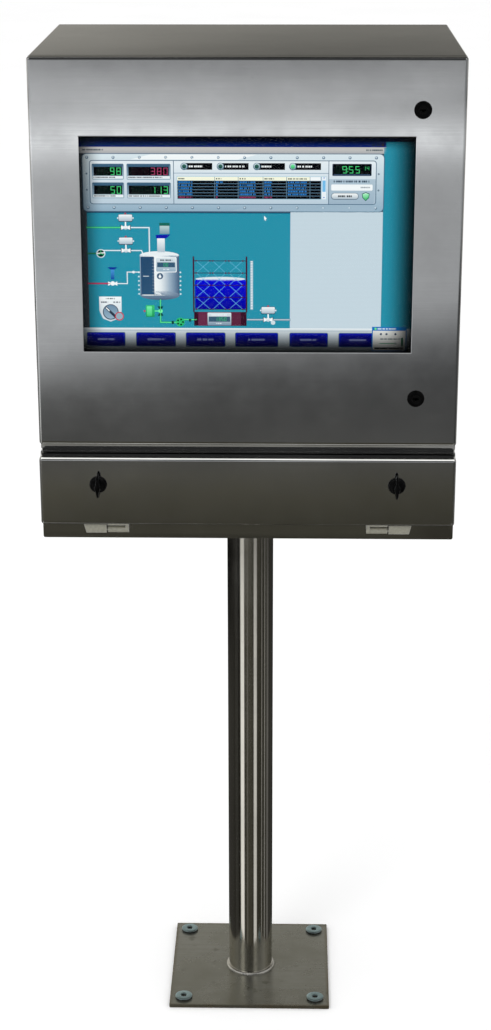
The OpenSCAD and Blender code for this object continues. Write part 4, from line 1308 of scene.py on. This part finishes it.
def studio_light():
    """White room seen directly; polished metal sees soft bands and upright lamps instead."""
    world = bpy.data.worlds.new("studio")
    bpy.context.scene.world = world
    world.cycles.sampling_method = "NONE"
    world.use_nodes = True
    tree = world.node_tree
    tree.nodes.clear()
    way = tree.nodes.new("ShaderNodeTexCoord").outputs["Generated"]
    x, y, z = put(tree, "ShaderNodeSeparateXYZ", Vector=way).outputs
    is_front = remap(y, 0.25, -0.25, 0.0, 1.0, True)
    room = plus(times(front_bands(x, z), is_front), times(back_bands(x, z), minus(1.0, is_front)))
    room = times(room, remap(x, -0.5, 0.5, 1.45, 0.55))
    azimuth = calc("ARCTAN2", x, times(y, -1.0))
    aside = remap(absolute(azimuth), math.radians(48.0), math.radians(58.0), 0.0, 1.0, True)
    aside = times(aside, remap(z, -0.05, -0.27, 0.0, 0.93, True))
    aside = minus(aside, remap(z, -0.36, -0.40, 0.0, 0.55, True))
    room = times(room, minus(1.0, calc("MAXIMUM", aside, 0.0)))
    low = plus(remap(z, -0.338, -0.356, 0.0, 1.0, True), remap(z, 0.2, 0.34, 0.0, 0.8, True))
    between = absolute(minus(azimuth, math.radians(-5.0)))
    glow = remap(between, math.radians(24.0), math.radians(14.0), 0.0, 0.045, True)
    room = plus(room, times(glow, low))
    room = plus(room, remap(x, 0.25, 0.60, 0.0, 0.03, True))
    upper = times(remap(z, 0.12, 0.20, 0.0, 0.35, True), is_front)
    room = plus(room, times(upper, remap(absolute(x), 0.15, 0.45, 0.0, 1.0, True)))
    lamps = 0.0
    for centre, half, power in ((-41.0, 12.0, 1.15), (26.0, 10.0, 0.80), (62.0, 3.0, 0.25),
                                (-14.0, 3.0, 0.10), (80.0, 4.0, 0.25), (100.0, 9.0, 0.12),
                                (-75.0, 12.0, 0.03)):
        off = absolute(minus(azimuth, math.radians(centre)))
        lamps = plus(lamps, remap(off, math.radians(half), math.radians(half * 0.6), 0.0, power, True))
    lamp_light = put(tree, "ShaderNodeBackground", Strength=times(lamps, low),
                     Color=(1.0, 0.995, 0.985, 1.0))
    room_light = put(tree, "ShaderNodeBackground", Strength=room, Color=colour_cast(z, is_front))
    metal_light = tree.nodes.new("ShaderNodeAddShader")
    fill(metal_light, lamp_light.outputs[0], room_light.outputs[0])
    soft_light = put(tree, "ShaderNodeBackground", Strength=1.12, Color=(1.0, 1.0, 1.0, 1.0))
    reflected = tree.nodes.new("ShaderNodeLightPath").outputs["Is Glossy Ray"]
    mixed = tree.nodes.new("ShaderNodeMixShader")
    fill(mixed, reflected, soft_light.outputs[0], metal_light.outputs[0])
    put(tree, "ShaderNodeOutputWorld", Surface=mixed.outputs[0])


def camera():
    yaw, pitch, roll = (math.radians(a) for a in (-1.27, 19.12, -0.09))
    level = Vector((math.sin(yaw), math.cos(yaw), 0))
    forward = level * math.cos(pitch) - Vector((0, 0, math.sin(pitch)))
    right = Vector((math.cos(yaw), -math.sin(yaw), 0))
    up = right.cross(forward)
    side = right * math.cos(roll) + up * math.sin(roll)
    top = up * math.cos(roll) - right * math.sin(roll)
    data = bpy.data.cameras.new("view")
    data.lens = 73.24
    data.sensor_width = 36.0
    obj = placed("view", data)
    obj.matrix_world = Matrix((side, top, -forward)).transposed().to_4x4()
    obj.location = (0.062, -3.138, 1.9056)
    bpy.context.scene.camera = obj


def area_light(name, place, facing, wide, high, power):
    data = bpy.data.lights.new(name, "AREA")
    data.shape = "RECTANGLE"
    data.size, data.size_y = wide, high
    data.energy = power
    obj = placed(name, data)
    obj.location = place
    obj.rotation_euler = Vector(facing).to_track_quat("-Z", "Y").to_euler()
    return obj


def light_only(lamp, piece):
    """Lets a lamp light one piece only; gives the collection that holds the piece."""
    group = bpy.data.collections.new("lit_by_" + lamp.name)
    group.objects.link(bpy.data.objects[piece])
    lamp.light_linking.receiver_collection = group
    return group


def ceiling_panel():
    """Wide panel over the keyboard door; it lights that door only, mostly its top edge."""
    panel = area_light("ceiling_panel", (0, -1.1, 2.5), (0, 0, -1), 3.0, 3.0, 46)
    light_only(panel, "keyboard_door_sheet")


def sill_panel():
    """Low panel in front; it lights the sill between the two doors and passes the doors."""
    panel = area_light("sill_panel", (0, -3.0, 0.12), (0, 1, 0), 3.0, 0.24, 0.5)
    panel.light_linking.blocker_collection = light_only(panel, "enclosure_body_finished")


def mirrored_panel(name, centre, facing, wide, high, power):
    """Upright panel that only reflections see, facing the object's back or sides."""
    panel = area_light(name, centre, facing, wide, high, power * wide * high)
    panel.visible_camera = False
    panel.visible_diffuse = False
    panel.visible_transmission = False


def mirrored_panels():
    """Three levels of panels behind the object and at both sides, with dark gaps between."""
    levels = ((0.04, 0.64, 0.85), (0.69, 1.16, 1.15), (1.20, 1.66, 1.5))
    for level, (low, high, power) in enumerate(levels):
        middle, tall = (low + high) / 2, high - low
        mirrored_panel(f"rear_panel_{level}", (0, 2.5, middle), (0, -1, 0), 9.0, tall, power)
        for side in (-1, 1):
            mirrored_panel(f"side_panel_{level}_{side + 1}", (side * 2.6, 0.6, middle), (-side, 0, 0),
                           3.4, tall, power * 0.8)


def key_lamp():
    """Round soft lamp in front, at the upper left; reflections don't show it."""
    place, target = Vector((-1.8, -3.2, 3.4)), Vector((0, 0, 1.1))
    lamp = area_light("key_lamp", place, target - place, 1.8, 1.8, 40)
    lamp.data.shape = "DISK"
    lamp.visible_glossy = False


# ---- build


camera()
studio_light()
key_lamp()
mirrored_panels()
floor()
bpy.context.scene.view_settings.view_transform = "Standard"

display_door()
door_studs()
keyboard_door()
pedestal_tube()
tube_welds()
anchors()
key_latches()
wing_latches()
window_glass()
display_picture()
keyboard()
for shell, front_depth in (("enclosure_body", 11), ("keyboard_housing", 13)):
    front_plane = box(shell)[0].y + front_depth
    refine(shell, 0.3, ((1, BODY_BACK), (1, front_plane)), 2.0, 4)
satin_hinge = worked_metal("satin_hinge", rgb(166, 164, 150), 0.40, 300.0, 0.2, 0.5, 0.5)
for part in [node for node in frame["nodes"] if node not in finished]:
    piece = refine(part)
    if part in ("keyboard_door_hinges", "housing_hinge_leaves", "housing_hinge_pins"):
        piece.data.materials[0] = satin_hinge

ceiling_panel()
sill_panel()
